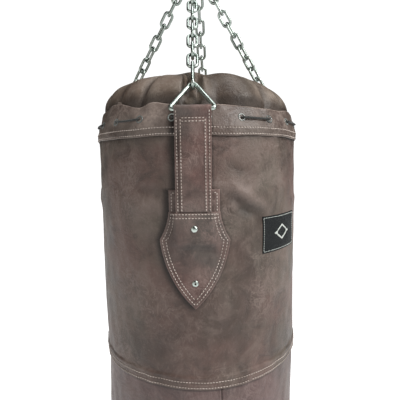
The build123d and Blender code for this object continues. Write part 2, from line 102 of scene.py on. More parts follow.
SIDES = {"front": -90.0, "right": 20.0, "back": 85.0, "left": 160.0}
STRAP_W = 50.0
STRAP_BACK = 178.6
STRAP_FACE = STRAP_BACK + 2 * LEATHER
STRAP_TAIL = -150.0
BAR_R = 183.95
BAR_Z = 34.0
BAR_WIRE_R = 3.15
FACING_W = 38.0
FACING_T = 1.8
FACING_TOP = 24.0
EARS_TOP = -74.0
COVER_TOP = -105.0
EAR_HALF = 36.0
SHOULDER = (50.0, -145.0)
PATCH_TIP = -245.5
RIVET_DOMED_Z = -128.0
RIVET_TUBULAR_Z = -207.0
RIVET_R = 4.8

LABEL_AZ = -40.0
LABEL_W = 95.0
LABEL_H = 56.0
LABEL_Z = -146.0

THREAD_R = 0.66
STITCH = 3.5
PITCH = 4.4

# How far stitched rows lie inside the edges they hold.
EAR_ROW = 4.5
FACING_ROW = 2.4
LABEL_ROW = 2.6
LABEL_PITCH = 3.4
LABEL_THREAD_R = 0.42

CAMERA_PLACE = (20.1, -645.8, -40.0)
CAMERA_TILT = (-5.9, 1.46, -0.86)   # pitch, yaw and roll in degrees
CAMERA_LENS = 30.73

chance = np.random.default_rng(20)


# ---------------- camera and stage
def set_camera():
    """The camera stands just in front of the bag, level with the collar's edge."""
    place = Vector(CAMERA_PLACE) * MM + Vector((0, 0, COLLAR_Z))
    pitch, yaw, roll = (math.radians(a) for a in CAMERA_TILT)
    turn = Matrix.Rotation(yaw, 3, "Z") @ Matrix.Rotation(math.pi / 2 + pitch, 3, "X")
    turn = turn @ Matrix.Rotation(roll, 3, "Z")
    camera = bpy.data.objects.new("camera", bpy.data.cameras.new("camera"))
    camera.data.sensor_width = 36.0
    camera.data.lens = CAMERA_LENS
    camera.data.clip_start = 0.01
    camera.matrix_world = Matrix.Translation(place) @ turn.to_4x4()
    bpy.context.scene.collection.objects.link(camera)
    bpy.context.scene.camera = camera


def stage_piece(name, mesh, colour, glow, **seen_by):
    """Floor or backdrop, glowing a little so that it stays plain white."""
    made = bpy.data.objects.new(name, mesh)
    for ray, seen in seen_by.items():
        setattr(made, f"visible_{ray}", seen)
    bpy.context.scene.collection.objects.link(made)
    material = bpy.data.materials.new(name)
    material.use_nodes = True
    shader = material.node_tree.nodes["Principled BSDF"]
    shader.inputs["Base Color"].default_value = (colour, colour, colour, 1)
    shader.inputs["Roughness"].default_value = 0.9
    shader.inputs["Emission Color"].default_value = (1, 1, 1, 1)
    shader.inputs["Emission Strength"].default_value = glow
    mesh.materials.append(material)


def plane_mesh(name, half, height):
    mesh = bpy.data.meshes.new(name)
    corners = [(-half, -half, height), (half, -half, height), (half, half, height), (-half, half, height)]
    mesh.from_pydata(corners, [], [(0, 1, 2, 3)])
    return mesh


def dome_mesh(name, radius):
    mesh = bpy.data.meshes.new(name)
    work = bmesh.new()
    bmesh.ops.create_uvsphere(work, u_segments=48, v_segments=24, radius=radius)
    work.to_mesh(mesh)
    work.free()
    return mesh


def area_light(name, place, target, size, power, colour=(1, 1, 1), shines=True):
    light = bpy.data.lights.new(name, "AREA")
    light.shape = "RECTANGLE"
    light.size, light.size_y = size
    light.energy = power
    light.color = colour
    lamp = bpy.data.objects.new(name, light)
    lamp.visible_glossy = shines
    lamp.location = place
    aim = Vector(target) - Vector(place)
    lamp.rotation_euler = aim.to_track_quat("-Z", "Y").to_euler()
    bpy.context.scene.collection.objects.link(lamp)


def set_stage():
    """A white studio: even light from all round, a key from the right and a weaker fill."""
    scene = bpy.context.scene
    scene.view_settings.view_transform = "Standard"
    world = bpy.data.worlds.new("studio")
    world.use_nodes = True
    world.node_tree.nodes["Background"].inputs["Color"].default_value = (1, 1, 1, 1)
    world.node_tree.nodes["Background"].inputs["Strength"].default_value = 0.62
    scene.world = world
    world.cycles_visibility.glossy = False
    floor = plane_mesh("floor", 14.0, cad_box[0][2] - 0.35)
    stage_piece("floor", floor, 0.85, 0.75, diffuse=False)
    # Only the camera sees the backdrop, so that it whitens the picture and lights nothing.
    hidden = dict(diffuse=False, glossy=False, transmission=False, shadow=False, volume_scatter=False)
    stage_piece("backdrop", dome_mesh("backdrop", 15.0), 0.0, 1.1, **hidden)
    area_light("key", (1.35, -0.9, 0.6), (0.05, 0, -0.65), (0.55, 0.8), 40, (1.0, 0.985, 0.96))
    area_light("fill", (-1.7, -1.3, -0.2), (0, 0, -0.7), (1.0, 1.8), 7, (1.0, 0.92, 0.82))
    area_light("top", (0.3, -0.1, 1.3), (0, 0, -0.4), (0.9, 0.9), 13)
    area_light("back", (-0.7, 1.7, 0.2), (0, 0, -0.8), (1.0, 1.4), 20, shines=False)


# ---------------- materials
class Graph:
    """A material's node tree, with short calls for the nodes the finishes share."""

    def __init__(self, name):
        self.material = bpy.data.materials.new(name)
        self.material.use_nodes = True
        self.tree = self.material.node_tree
        self.shader = self.tree.nodes["Principled BSDF"]
        self.place = self.tree.nodes.new("ShaderNodeTexCoord").outputs["Object"]

    def feed(self, node, inputs):
        """Links or sets a node's inputs, by socket name or number."""
        for key, value in inputs.items():
            if isinstance(value, bpy.types.NodeSocket):
                self.tree.links.new(value, node.inputs[key])
            else:
                node.inputs[key].default_value = value

    def add(self, kind, inputs, **settings):
        node = self.tree.nodes.new(kind)
        for key, value in settings.items():
            setattr(node, key, value)
        self.feed(node, inputs)
        return node

    def stretch(self, scale):
        return self.add("ShaderNodeMapping", {"Vector": self.place, "Scale": scale}).outputs[0]

    def noise(self, scale, detail, rough, warp=0.0):
        """Noise over the piece; three scales stretch it along its axes."""
        where, scale = (self.stretch(scale), 1.0) if isinstance(scale, tuple) else (self.place, scale)
        inputs = {"Vector": where, "Scale": scale, "Detail": detail, "Roughness": rough, "Distortion": warp}
        return self.add("ShaderNodeTexNoise", inputs).outputs["Fac"]

    def lines(self, scale, detail, rough, warp):
        """Zero along the thin lines where a noise crosses its middle value."""
        away = self.maths("SUBTRACT", self.noise(scale, detail, rough, warp), 0.5)
        return self.maths("ABSOLUTE", away)

    def cells(self, scale):
        return self.add("ShaderNodeTexVoronoi", {"Vector": self.place, "Scale": scale}).outputs

    def remap(self, value, low, high, to_low=0.0, to_high=1.0):
        inputs = {"Value": value, 1: low, 2: high, 3: to_low, 4: to_high}
        return self.add("ShaderNodeMapRange", inputs).outputs[0]

    def maths(self, operation, a, b=0.0):
        return self.add("ShaderNodeMath", {0: a, 1: b}, operation=operation).outputs[0]

    def mix(self, factor, a, b):
        """Colour a turned into colour b by a factor."""
        a, b = ((*value, 1) if isinstance(value, tuple) else value for value in (a, b))
        return self.add("ShaderNodeMix", {0: factor, 6: a, 7: b}, data_type="RGBA").outputs[2]

    def attribute(self, name):
        return self.add("ShaderNodeAttribute", {}, attribute_name=name).outputs["Fac"]

    def bump(self, height, distance, strength, under=None):
        inputs = {"Height": height, "Distance": distance, "Strength": strength}
        if under is not None:
            inputs["Normal"] = under
        return self.add("ShaderNodeBump", inputs).outputs[0]

    def finish(self, colour, roughness, normal, **levels):
        levels = {key.replace("_", " "): value for key, value in levels.items()}
        self.feed(self.shader, {"Base Color": colour, "Roughness": roughness, "Normal": normal, **levels})
        return self.material


# Colour of painted shade and of dark seams, mixed into leather wherever the mesh marks them.
SHADE_AND_DARKENING_COLOUR = (0.014, 0.009, 0.007)


def leather(name, mauve, grey, dark, pale, streaks, gloss=0.5):
    """Waxed, rubbed leather: cloudy patina, faint rub marks, scratches, pores and pale edges."""
    g = Graph(name)
    blotch = g.remap(g.noise(8, 4, 0.55, 0.4), 0.40, 0.62)
    cloud = g.noise(5, 5, 0.6, 0.2)
    patina = g.noise(26, 7, 0.66, 0.6)
    speck = g.noise(210, 4, 0.6)
    rub = g.noise((75, 75, 13), 5, 0.6, 0.3)
    vein = g.lines(34, 5, 0.62, 1.2)
    nick = g.lines((90, 90, 40), 3, 0.6, 1.0)
    colour = g.mix(blotch, mauve, grey)
    # Each layer starts at one value of its noise and is at full strength at the next.
    layers = (
        (cloud, 0.5, 0.34, 0.60, dark),
        (cloud, 0.5, 0.68, 0.45, pale),
        (patina, 0.5, 0.34, 0.65, dark),
        (patina, 0.52, 0.68, 0.45, pale),
        (rub, 0.5, 0.72, streaks, pale),
        (rub, 0.46, 0.3, streaks, dark),
    )
    for layer, start, full, strength, tone in layers:
        colour = g.mix(g.remap(layer, start, full, 0.0, strength), colour, tone)
    scuffed = g.remap(g.noise(13, 3, 0.5), 0.46, 0.62)
    for scratch, strength in ((vein, 0.60), (nick, 0.50)):
        shown = g.maths("MULTIPLY", g.remap(scratch, 0.0, 0.030, strength, 0.0), scuffed)
        colour = g.mix(shown, colour, pale)
    colour = g.mix(g.remap(speck, 0.55, 0.75, 0.0, 0.3), colour, pale)
    # Paler where the mesh marks worn edges and painted highlights.
    pale_share = g.maths("MULTIPLY", g.attribute("wear"), g.remap(speck, 0.3, 0.6, 0.45, 1.0))
    colour = g.mix(pale_share, colour, pale)
    # Darker where the mesh marks painted shade, dark seams and other darkening.
    colour = g.mix(g.attribute("grime"), colour, SHADE_AND_DARKENING_COLOUR)
    rough = g.remap(patina, 0.3, 0.7, gloss - 0.09, gloss + 0.1)
    scratches = g.noise((320, 320, 90), 3, 0.5, 0.8)
    normal = g.bump(g.cells(620)["Distance"], 0.00035, 0.55)
    normal = g.bump(speck, 0.0008, 0.35, normal)
    normal = g.bump(scratches, 0.0005, 0.3, normal)
    normal = g.bump(patina, 0.0050, 0.5, normal)
    return g.finish(colour, rough, normal, Specular_IOR_Level=0.34)


def zinc(name, tint, dull):
    """Bright zinc plate, slightly clouded, with a greenish cast and rubbed contacts."""
    g = Graph(name)
    cloud = g.noise(85, 5, 0.6, 0.3)
    fine = g.noise(900, 3, 0.6)
    colour = g.mix(g.remap(cloud, 0.35, 0.65), tint, dull)
    colour = g.mix(g.remap(fine, 0.6, 0.8, 0.0, 0.4), colour, (0.22, 0.25, 0.23))
    colour = g.mix(g.attribute("wear"), colour, (0.66, 0.70, 0.67))
    rough = g.remap(cloud, 0.3, 0.7, 0.30, 0.46)
    normal = g.bump(cloud, 0.0006, 0.25)
    normal = g.bump(fine, 0.00012, 0.4, normal)
    return g.finish(colour, rough, normal, Metallic=1.0)


def ground_steel():
    g = Graph("bearing_steel_finish")
    rings = g.noise((40, 40, 2600), 3, 0.5)
    colour = g.mix(rings, (0.55, 0.55, 0.54), (0.68, 0.68, 0.67))
    return g.finish(colour, g.remap(rings, 0.3, 0.7, 0.14, 0.3), g.bump(rings, 0.00005, 0.4), Metallic=1.0)


def black_enamel():
    g = Graph("eyelet_finish")
    pale_share = g.noise(420, 4, 0.6)
    colour = g.mix(g.remap(pale_share, 0.58, 0.74, 0.0, 0.5), (0.012, 0.013, 0.012), (0.10, 0.11, 0.10))
    # Paler on the eyelets' rolled rims: worn enamel, with a painted highlight.
    colour = g.mix(g.attribute("wear"), colour, (0.30, 0.33, 0.31))
    rough = g.remap(pale_share, 0.3, 0.7, 0.22, 0.4)
    return g.finish(colour, rough, g.bump(pale_share, 0.0001, 0.5), Specular_IOR_Level=0.6, Coat_Weight=0.3)


def braided(name, dark, light):
    """Braid drawn from the cord's own length and turn, which its mesh carries."""
    g = Graph(name)
    along, around = g.attribute("along"), g.attribute("around")
    pitch = g.maths("MULTIPLY", along, 2.1)
    strands = [g.maths("SINE", g.maths(way, pitch, around)) for way in ("ADD", "SUBTRACT")]
    weave = g.maths("MULTIPLY", *strands)
    fuzz = g.noise(1500, 3, 0.6)
    colour = g.mix(g.remap(weave, -0.6, 0.8), dark, light)
    colour = g.mix(g.remap(fuzz, 0.55, 0.8, 0.0, 0.5), colour, light)
    normal = g.bump(weave, 0.0003, 0.8)
    normal = g.bump(fuzz, 0.0001, 0.4, normal)
    return g.finish(colour, 0.72, normal, Sheen_Weight=0.15, Sheen_Roughness=0.5)


def thread():
    g = Graph("thread_finish")
    twist = g.noise((1900, 1900, 1400), 2, 0.5)
    soil = g.noise(26, 5, 0.6)
    colour = g.mix(twist, (0.33, 0.275, 0.24), (0.53, 0.46, 0.415))
    colour = g.mix(g.remap(soil, 0.52, 0.32, 0.0, 0.8), colour, (0.19, 0.145, 0.115))
    return g.finish(colour, 0.62, g.bump(twist, 0.0002, 0.6), Sheen_Weight=0.2, Sheen_Roughness=0.5)


def pale_thread():
    """The label's thread."""
    g = Graph("label_thread_finish")
    twist = g.noise((1700, 1700, 1700), 2, 0.5)
    colour = g.mix(twist, (0.42, 0.45, 0.42), (0.62, 0.66, 0.62))
    return g.finish(colour, 0.55, g.bump(twist, 0.0002, 0.6), Sheen_Weight=0.2, Sheen_Roughness=0.4)


def woven_satin():
    """Black label cloth with a fine satin weave and a little lint."""
    g = Graph("label_cloth_finish")
    weft = g.maths("SINE", g.maths("MULTIPLY", g.attribute("across"), 9.0))
    warp = g.maths("SINE", g.maths("MULTIPLY", g.attribute("up"), 14.0))
    weave = g.maths("MULTIPLY", weft, warp)
    lint = g.noise(320, 5, 0.65)
    colour = g.mix(g.remap(weave, -0.8, 0.8), (0.004, 0.005, 0.006), (0.011, 0.014, 0.015))
    colour = g.mix(g.remap(lint, 0.6, 0.8, 0.0, 0.3), colour, (0.04, 0.044, 0.042))
    normal = g.bump(weave, 0.00015, 0.6)
    normal = g.bump(lint, 0.0002, 0.4, normal)
    return g.finish(colour, g.remap(lint, 0.3, 0.7, 0.5, 0.66), normal, Specular_IOR_Level=0.15)


def canvas():
    g = Graph("liner_finish")
    weave = g.maths("ADD", g.noise((300, 300, 2400), 2, 0.5), g.noise((2400, 2400, 300), 2, 0.5))
    colour = g.mix(g.remap(weave, 0.8, 1.2), (0.36, 0.32, 0.25), (0.56, 0.52, 0.43))
    return g.finish(colour, 0.9, g.bump(weave, 0.0004, 0.6), Sheen_Weight=0.2)


def shredded_textile():
    g = Graph("filling_finish")
    lint = g.noise(240, 6, 0.7)
    colour = g.mix(0.75, g.cells(45)["Color"], (0.40, 0.38, 0.36))
    colour = g.mix(g.remap(lint, 0.4, 0.7, 0.0, 0.6), colour, (0.55, 0.54, 0.52))
    return g.finish(colour, 0.95, g.bump(lint, 0.003, 0.7), Sheen_Weight=0.3)


BODY_LEATHER = leather(
    "body_leather",
    (0.108, 0.066, 0.055), (0.094, 0.077, 0.061), (0.036, 0.025, 0.020), (0.190, 0.146, 0.128), 0.14,
)
LOWER_LEATHER = leather(
    "lower_leather",
    (0.112, 0.070, 0.066), (0.104, 0.078, 0.070), (0.050, 0.031, 0.029), (0.190, 0.140, 0.130), 0.30,
)
STRAP_LEATHER = leather(
    "strap_leather",
    (0.120, 0.066, 0.057), (0.092, 0.075, 0.066), (0.038, 0.027, 0.024), (0.225, 0.160, 0.142), 0.16,
)
CAP_LEATHER = leather(
    "cap_leather",
    (0.118, 0.082, 0.062), (0.124, 0.102, 0.080), (0.052, 0.036, 0.028), (0.200, 0.164, 0.136), 0.08,
)
COLLAR_LEATHER = leather(
    "collar_leather",
    (0.110, 0.076, 0.064), (0.114, 0.092, 0.078), (0.050, 0.034, 0.028), (0.255, 0.205, 0.178), 0.10, 0.44,
)
ZINC = zinc("zinc_finish", (0.44, 0.50, 0.465), (0.32, 0.37, 0.34))
STEEL = ground_steel()
ENAMEL = black_enamel()
CORD = braided("cord_finish", (0.004, 0.005, 0.004), (0.018, 0.021, 0.018))
THREAD = thread()
PALE_THREAD = pale_thread()
SATIN = woven_satin()
CANVAS = canvas()
TEXTILE = shredded_textile()


# ---------------- mesh making
def grid_quads(rows, columns, close_rows, close_columns):
    r = np.arange(rows if close_rows else rows - 1)
    c = np.arange(columns if close_columns else columns - 1)
    r, c = np.meshgrid(r, c, indexing="ij")
    up, on = (r + 1) % rows, (c + 1) % columns
    quads = [r * columns + c, r * columns + on, up * columns + on, up * columns + c]
    return np.stack(quads, -1).reshape(-1, 4)


class Shape:
    """Points in the bag's millimetres and the quads over them, until they are a piece."""

    def __init__(self):
        self.points, self.quads, self.count, self.marks = [], [], 0, {}

    def add(self, points, quads, **marks):
        flat = points.reshape(-1, 3)
        self.points.append(flat)
        self.quads.append(quads + self.count)
        for key, values in marks.items():
            spread = np.broadcast_to(np.asarray(values, float), points.shape[:-1]).reshape(-1)
            self.marks.setdefault(key, []).append((self.count, spread))
        self.count += len(flat)

    def add_grid(self, points, close_rows=False, close_columns=False, **marks):
        rows, columns = points.shape[:2]
        self.add(points, grid_quads(rows, columns, close_rows, close_columns), **marks)

    def piece(self, name, material, slot, stands_for=(), body="bag"):
        points = np.concatenate(self.points) * MM + np.array([0, 0, COLLAR_Z])
        mesh = bpy.data.meshes.new(name)
        mesh.from_pydata(points.tolist(), [], np.concatenate(self.quads).tolist())
        for key, parts in self.marks.items():
            values = np.zeros(len(points), np.float32)
            for start, spread in parts:
                values[start:start + len(spread)] = spread
            mesh.attributes.new(key, "FLOAT", "POINT").data.foreach_set("value", values)
        work = bmesh.new()
        work.from_mesh(mesh)
        bmesh.ops.remove_doubles(work, verts=work.verts, dist=1e-6)
        bmesh.ops.dissolve_degenerate(work, edges=work.edges, dist=1e-7)
        bmesh.ops.recalc_face_normals(work, faces=work.faces)
        work.to_mesh(mesh)
        work.free()
        mesh.shade_smooth()
        mesh.materials.append(material)
        made = bpy.data.objects.new(name, mesh)
        bpy.context.scene.collection.objects.link(made)
        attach(made, body)
        if stands_for:
            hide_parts(*stands_for)
        return made


def polar(azimuth, radius, height):
    """Points from azimuths in degrees, radii and heights."""
    azimuth, radius, height = np.broadcast_arrays(azimuth, radius, height)
    turn = np.radians(azimuth)
    return np.stack([radius * np.cos(turn), radius * np.sin(turn), height], -1)


def as_columns(loop):
    """Radii and heights of a loop's points, ready to spread over azimuths."""
    return np.array(loop).T[:, :, None]


UP = np.array([0.0, 0.0, 1.0])


def level_axes(azimuth):
    """Unit vectors outwards at an azimuth and along the skin to its right."""
    return polar(azimuth, 1.0, 0.0), polar(azimuth + 90.0, 1.0, 0.0)


def unit(vectors):
    return vectors / np.maximum(np.linalg.norm(vectors, axis=-1, keepdims=True), 1e-9)


def ease(value, start, end):
    """Smooth step from 0 at start to 1 at end."""
    t = np.clip((value - start) / (end - start), 0, 1)
    return t * t * (3 - 2 * t)


def bell(value, centre, width):
    return np.exp(-(((value - centre) / width) ** 2))


def turned(azimuth, centre):
    """Degrees from a centre azimuth to another, positive to the right, from -180 to 180."""
    return (np.asarray(azimuth, float) - centre + 180.0) % 360.0 - 180.0


def skin_x(azimuth, centre):
    """Millimetres along the skin from a centre azimuth, positive to the right."""
    return np.radians(turned(azimuth, centre)) * BAG_R


def off_front(azimuth):
    """Degrees right of the front strap."""
    return turned(azimuth, SIDES["front"])


def beside_strap(azimuth):
    """Degrees right of the nearest strap, negative on its left."""
    gaps = np.array([turned(azimuth, side) for side in SIDES.values()])
    nearest = np.argmin(np.abs(gaps), axis=0)
    return np.take_along_axis(gaps, nearest[None], axis=0)[0]


def off_strap(azimuth):
    """Degrees from the nearest strap."""
    return np.abs(beside_strap(azimuth))


def strap_shadow(azimuth, edge):
    """Painted shadow beside a strap, mostly on its left; edge is the strap's half width there."""
    beside = beside_strap(azimuth)
    gap = np.abs(beside) * math.radians(BAG_R) - edge
    return np.where(beside < 0, 0.95 * ease(gap, 15.0, 2.5), 0.5 * ease(gap, 5.0, 0.5))


def run_length(line):
    """Distance along a line of points, at each point."""
    return np.concatenate([[0.0], np.cumsum(np.linalg.norm(np.diff(line, axis=0), axis=1))])


def lathe(profile, centre, out, up, steps=28):
    """Turns (radius, rise) points about the direction out, standing on centre."""
    across = np.cross(up, out)
    turn = np.linspace(0, 2 * np.pi, steps, endpoint=False)
    ring = np.cos(turn)[:, None] * across + np.sin(turn)[:, None] * up
    rows = [centre + ring * radius + out * rise for radius, rise in profile]
    return np.array(rows)


def half_round(centre_r, centre_z, radius, start, end, steps=5):
    """Points of an arc in the (radius, height) plane, angles in degrees."""
    turn = np.radians(np.linspace(start, end, steps))
    return [(centre_r + radius * math.cos(t), centre_z + radius * math.sin(t)) for t in turn]


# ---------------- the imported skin
def make_waves(count, turns, rises, size):
    """Waves round the skin, each with its turns, rise, phase and size."""
    waves = []
    for _ in range(count):
        turn_count = int(chance.integers(*turns))
        rise = chance.uniform(*rises) * chance.choice([-1, 1])
        waves.append((turn_count, rise, chance.uniform(0, 6.28), size / math.sqrt(count)))
    return waves


SOFT_WAVES = make_waves(9, (2, 9), (0.006, 0.03), 1.1)
FINE_WAVES = make_waves(14, (14, 46), (0.03, 0.14), 0.34)

# Creases pulled by the straps: start and end (along the skin, height), width, depth.
CREASES = [
    ((38, -72), (72, -98), 6.0, -2.1),
    ((46, -62), (86, -90), 8.0, 1.9),
    ((58, -94), (108, -122), 7.0, -1.9),
    ((66, -82), (116, -106), 8.0, 1.7),
    ((44, -40), (84, -52), 9.0, -0.9),
    ((-42, -82), (-92, -70), 8.0, -1.1),
    ((-46, -96), (-104, -100), 9.0, 1.0),
    ((-54, -140), (-90, -176), 9.0, -0.8),
    ((56, -150), (84, -196), 9.0, -0.8),
    ((-20, -262), (-64, -330), 13.0, -0.9),
    ((34, -270), (80, -322), 12.0, -0.8),
]


def crease_field(azimuth, height):
    """Sum of the creases each strap pulls into the leather beside it."""
    total = np.zeros(np.broadcast(azimuth, height).shape)
    for side_azimuth in SIDES.values():
        along = skin_x(azimuth, side_azimuth)
        for (x0, z0), (x1, z1), width, depth in CREASES:
            length = math.hypot(x1 - x0, z1 - z0)
            tx, tz = (x1 - x0) / length, (z1 - z0) / length
            run = (along - x0) * tx + (height - z0) * tz
            miss = (along - x0) * -tz + (height - z0) * tx
            miss = miss + 2.0 * np.sin(run / 9.0)
            fade = ease(run, -8, 14) * ease(run, length + 14, length - 14)
            total = total + depth * fade * bell(miss, 0, width)
    return total


def relief(azimuth, height):
    """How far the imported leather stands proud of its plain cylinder."""
    turn = np.radians(azimuth)
    total = np.zeros(np.broadcast(azimuth, height).shape)
    for count, rise, phase, size in SOFT_WAVES + FINE_WAVES:
        total = total + size * np.sin(count * turn + rise * height + phase)
    total = total - 0.9 * bell(height, UPPER_SEAM - 6, 20) - 0.9 * bell(height, LOWER_SEAM - 6, 20)
    total = total + 1.7 * crease_field(azimuth, height)
    for side_azimuth in SIDES.values():
        along = skin_x(azimuth, side_azimuth)
        calm = ease(np.abs(along), 60, 46) * ease(height, -268, -240) * ease(height, 30, 0)
        total = total * (1 - 0.8 * calm)
    near_label = ease(np.abs(skin_x(azimuth, LABEL_AZ)), 66, 46) * ease(np.abs(height - LABEL_Z), 46, 28)
    return total * (1 - 0.5 * near_label)


def pucker(azimuth, height, rows):
    """Small gathers that the thread pulls beside each stitched row."""
    ripple = np.sin(np.radians(azimuth) * BAG_R * 2 * np.pi / (PITCH * 2.0))
    wander = 0.6 + 0.4 * np.sin(np.radians(azimuth) * 23 + 1.0)
    total = 0.0
    for row in rows:
        total = total + 0.22 * wander * ripple * bell(height, row, 5.0) - 0.28 * bell(height, row, 1.3)
    return total


UPPER_ROWS = (UPPER_SEAM + 12.0, UPPER_SEAM + 3.2)
LOWER_ROWS = (LOWER_SEAM + 12.0, LOWER_SEAM + 3.2)
BOTTOM_ROW = BAG_BOTTOM + 7.0
UPRIGHT_SEAMS = {"upper": 118.0, "middle": -78.2, "lower": 64.0}


def upright_seam(azimuth, seam):
    """An upright seam sewn from inside: a fine groove between two slightly full lips."""
    off = skin_x(azimuth, seam)
    return 0.45 * (bell(off, 2.6, 1.9) + bell(off, -2.6, 1.9)) - 1.3 * bell(off, 0, 0.8)


def lapped_radius(height, bottom, lapped):
    """Outer face of a body panel, which steps out where it laps over the next."""
    if not lapped:
        return BAG_R + 0 * height
    step = bottom + SEAM_LAP
    return BAG_R + (LAP_R - BAG_R) * ease(height, step + 5.5, step + 0.5)


def spaced(start, end, gap):
    """Even places from start to end, about a gap apart."""
    return np.linspace(start, end, max(2, int(round(abs(end - start) / gap)) + 1))


def body_panel(key, top, bottom, lapped, rows, material):
    """A tube of leather with both faces and rolled edges, its lower edge lapped."""
    half = LEATHER / 2
    heights = np.concatenate([
        spaced(top - half, bottom + 30, 4.2)[:-1],
        spaced(bottom + 30, bottom + half, 0.95),
    ])
    outer = [(float(lapped_radius(z, bottom, lapped)), z) for z in heights]
    edge_r = outer[-1][0] - half
    loop = outer + half_round(edge_r, bottom + half, half, -20, -160)
    inner = [(r - LEATHER, z) for r, z in outer[::-3]]
    loop += inner + half_round(outer[0][0] - half, top - half, half, 160, 20)
    radius, height = as_columns(loop)
    seam = UPRIGHT_SEAMS[key]
    azimuth = np.concatenate([
        seam + spaced(-2.2, 2.2, 0.08),
        seam + spaced(2.2, 357.8, 0.8)[1:-1],
    ])[None, :]
    lift = relief(azimuth, height) + pucker(azimuth, height, rows)
    outside = radius > BAG_R - 0.5
    fade = ease(height, bottom - 2, bottom + 1)
    lift = lift + np.where(outside, upright_seam(azimuth, seam), 0) * (0.4 + 0.6 * fade)
    wear = bell(height, bottom, 1.4) * (1.0 if lapped else 0.3) + 0 * azimuth
    off = skin_x(azimuth, seam)
    wear = np.maximum(wear, bell(off, -1.1, 0.7))
    ridge = crease_field(azimuth, height)
    # Crease ridges painted paler: partly rub wear, partly painted highlight.
    wear = np.maximum(wear, np.clip(0.34 * ridge, 0, 0.6))
    grime = 0.8 * bell(off, 0.1, 0.5) * np.where(outside, 1, 0)
    # Painted shadow on the body just below each edge that laps over it.
    for lap_edge in (0.0, UPPER_SEAM, LOWER_SEAM):
        shadow = ease(height, lap_edge - 5.5, lap_edge - 0.5) * ease(height, lap_edge + 2, lap_edge)
        grime = np.maximum(grime, 0.75 * shadow * (bottom < lap_edge - 50))
    # Painted shadow beside each strap and patch.
    strap_shade = strap_shadow(azimuth, np.where(height > EARS_TOP, 25.0, patch_half_width(height)))
    grime = np.maximum(grime, strap_shade * ease(height, PATCH_TIP - 4, PATCH_TIP + 2))
    # Crease valleys painted darker: painted shade.
    grime = np.maximum(grime, np.clip(-0.22 * ridge, 0, 0.5))
    shape = Shape()
    shape.add_grid(polar(azimuth, radius + lift, height), True, True, wear=wear, grime=grime)
    shape.piece(f"{key}_leather", material, "brown_leather", [f"{key}_panel"])


def skin(azimuth, height, lift=0.0):
    """Point on the visible leather body, any lap included, with a lift above it."""
    radius = BAG_R + 0.0 * height
    for bottom in (UPPER_SEAM, LOWER_SEAM):
        covered = (height >= bottom) & (height < bottom + 60)
        radius = np.where(covered, lapped_radius(height, bottom, True), radius)
    return polar(azimuth, radius + relief(azimuth, height) + lift, height)


# ---------------- stitching
# Rings of one stitch: place along it, rise and girth as shares of the thread's radius.
STITCH_RINGS = ((-0.5, -1.0, 0.05), (-0.4, 0.0, 0.8), (0, 0.45, 1), (0.4, 0.0, 0.8), (0.5, -1.0, 0.05))


def sew(shape, surface, a, b, pitch=PITCH, thread_r=THREAD_R):
    """Lays stitches along a path given in a surface's own two coordinates."""
    a, b = np.broadcast_arrays(a, b)
    line = surface(a, b)
    run = run_length(line)
    count = max(1, int(run[-1] // pitch))
    middle = (np.arange(count) + 0.5) * run[-1] / count

    def at(place):
        return np.interp(place, run, a), np.interp(place, run, b)

    ma, mb = at(middle)
    centre = surface(ma, mb)
    tangent = unit(surface(*at(middle + 0.8)) - surface(*at(middle - 0.8)))
    step = 0.05
    normal = unit(np.cross(surface(ma + step, mb) - centre, surface(ma, mb + step) - centre))
    side = np.cross(normal, tangent)
    sway = chance.normal(0, 0.05, (count, 1))
    tangent, side = unit(tangent + side * sway), unit(side - tangent * sway)
    length = STITCH / PITCH * pitch * chance.uniform(0.9, 1.06, (count, 1))
    spin = np.linspace(0, 2 * np.pi, 6, endpoint=False)
    rings = []
    for t, rise, girth in STITCH_RINGS:
        spine = centre + tangent * length * t + normal * rise * thread_r
        ring = np.cos(spin)[None, :, None] * side[:, None] * 1.15
        ring = ring + np.sin(spin)[None, :, None] * normal[:, None]
        rings.append(spine[:, None] + ring * thread_r * girth)
    points = np.stack(rings, 1)
    quads = grid_quads(5, 6, False, True)
    quads = (quads[None] + 30 * np.arange(count)[:, None, None]).reshape(-1, 4)
    shape.add(points, quads)


def round_row(start=0.0, end=360.0):
    """Azimuths of a stitched row that runs round the bag."""
    return np.arange(start, end + 0.01, 0.15)


def sew_body():
    """The seams' stitched rows and the bottom's."""
    shape = Shape()

    def on_skin(azimuth, height):
        return skin(azimuth, height, 0.05)

    for row in (UPPER_ROWS[0],) + LOWER_ROWS + (BOTTOM_ROW,):
        sew(shape, on_skin, round_row(), row)
    # The seam's lower thread has broken at one place, right of the front patch.
    sew(shape, on_skin, round_row(-62.0, 296.4), UPPER_ROWS[1])
    return shape.piece("body_stitching", THREAD, "brown_leather")


def bottom_piece():
    """The round base, pulled down a little by the filling, its rim turned and sewn."""
    shape = Shape()
    azimuth = np.arange(0, 360, 1.5)[None, :]
    radii = np.concatenate([np.linspace(0.5, 150, 26), np.linspace(153, BAG_R - 2.2, 12)])
    sag = -5.0 * (1 - (radii / BAG_R) ** 2)
    loop = [(r, BAG_BOTTOM + s) for r, s in zip(radii, sag)]
    loop += half_round(BAG_R - 2.2, BAG_BOTTOM + 1.7, 1.7, -70, 80, 7)
    loop += [(r, z + 2.0) for r, z in reversed(loop[:38])]
    radius, height = as_columns(loop)
    turn = np.radians(azimuth)
    swell = ease(radius, 20, 80) * ease(radius, 172, 140)
    drop = swell * (0.9 * np.sin(3 * turn + 1) + 0.6 * np.sin(7 * turn + radius / 22))
    gather = ease(radius, 120, 170) * 0.35 * np.sin(96 * turn + 1.5 * np.sin(5 * turn))
    side = relief(azimuth, height) * ease(radius, 120, BAG_R - 3)
    points = polar(azimuth, radius + side, height + (drop + gather) * ease(radius, 176, 171))
    shape.add_grid(points, False, True, wear=bell(radius, BAG_R - 1, 1.5) * 0.7)
    return shape.piece("bottom_leather", LOWER_LEATHER, "brown_leather", ["bottom_disc"])


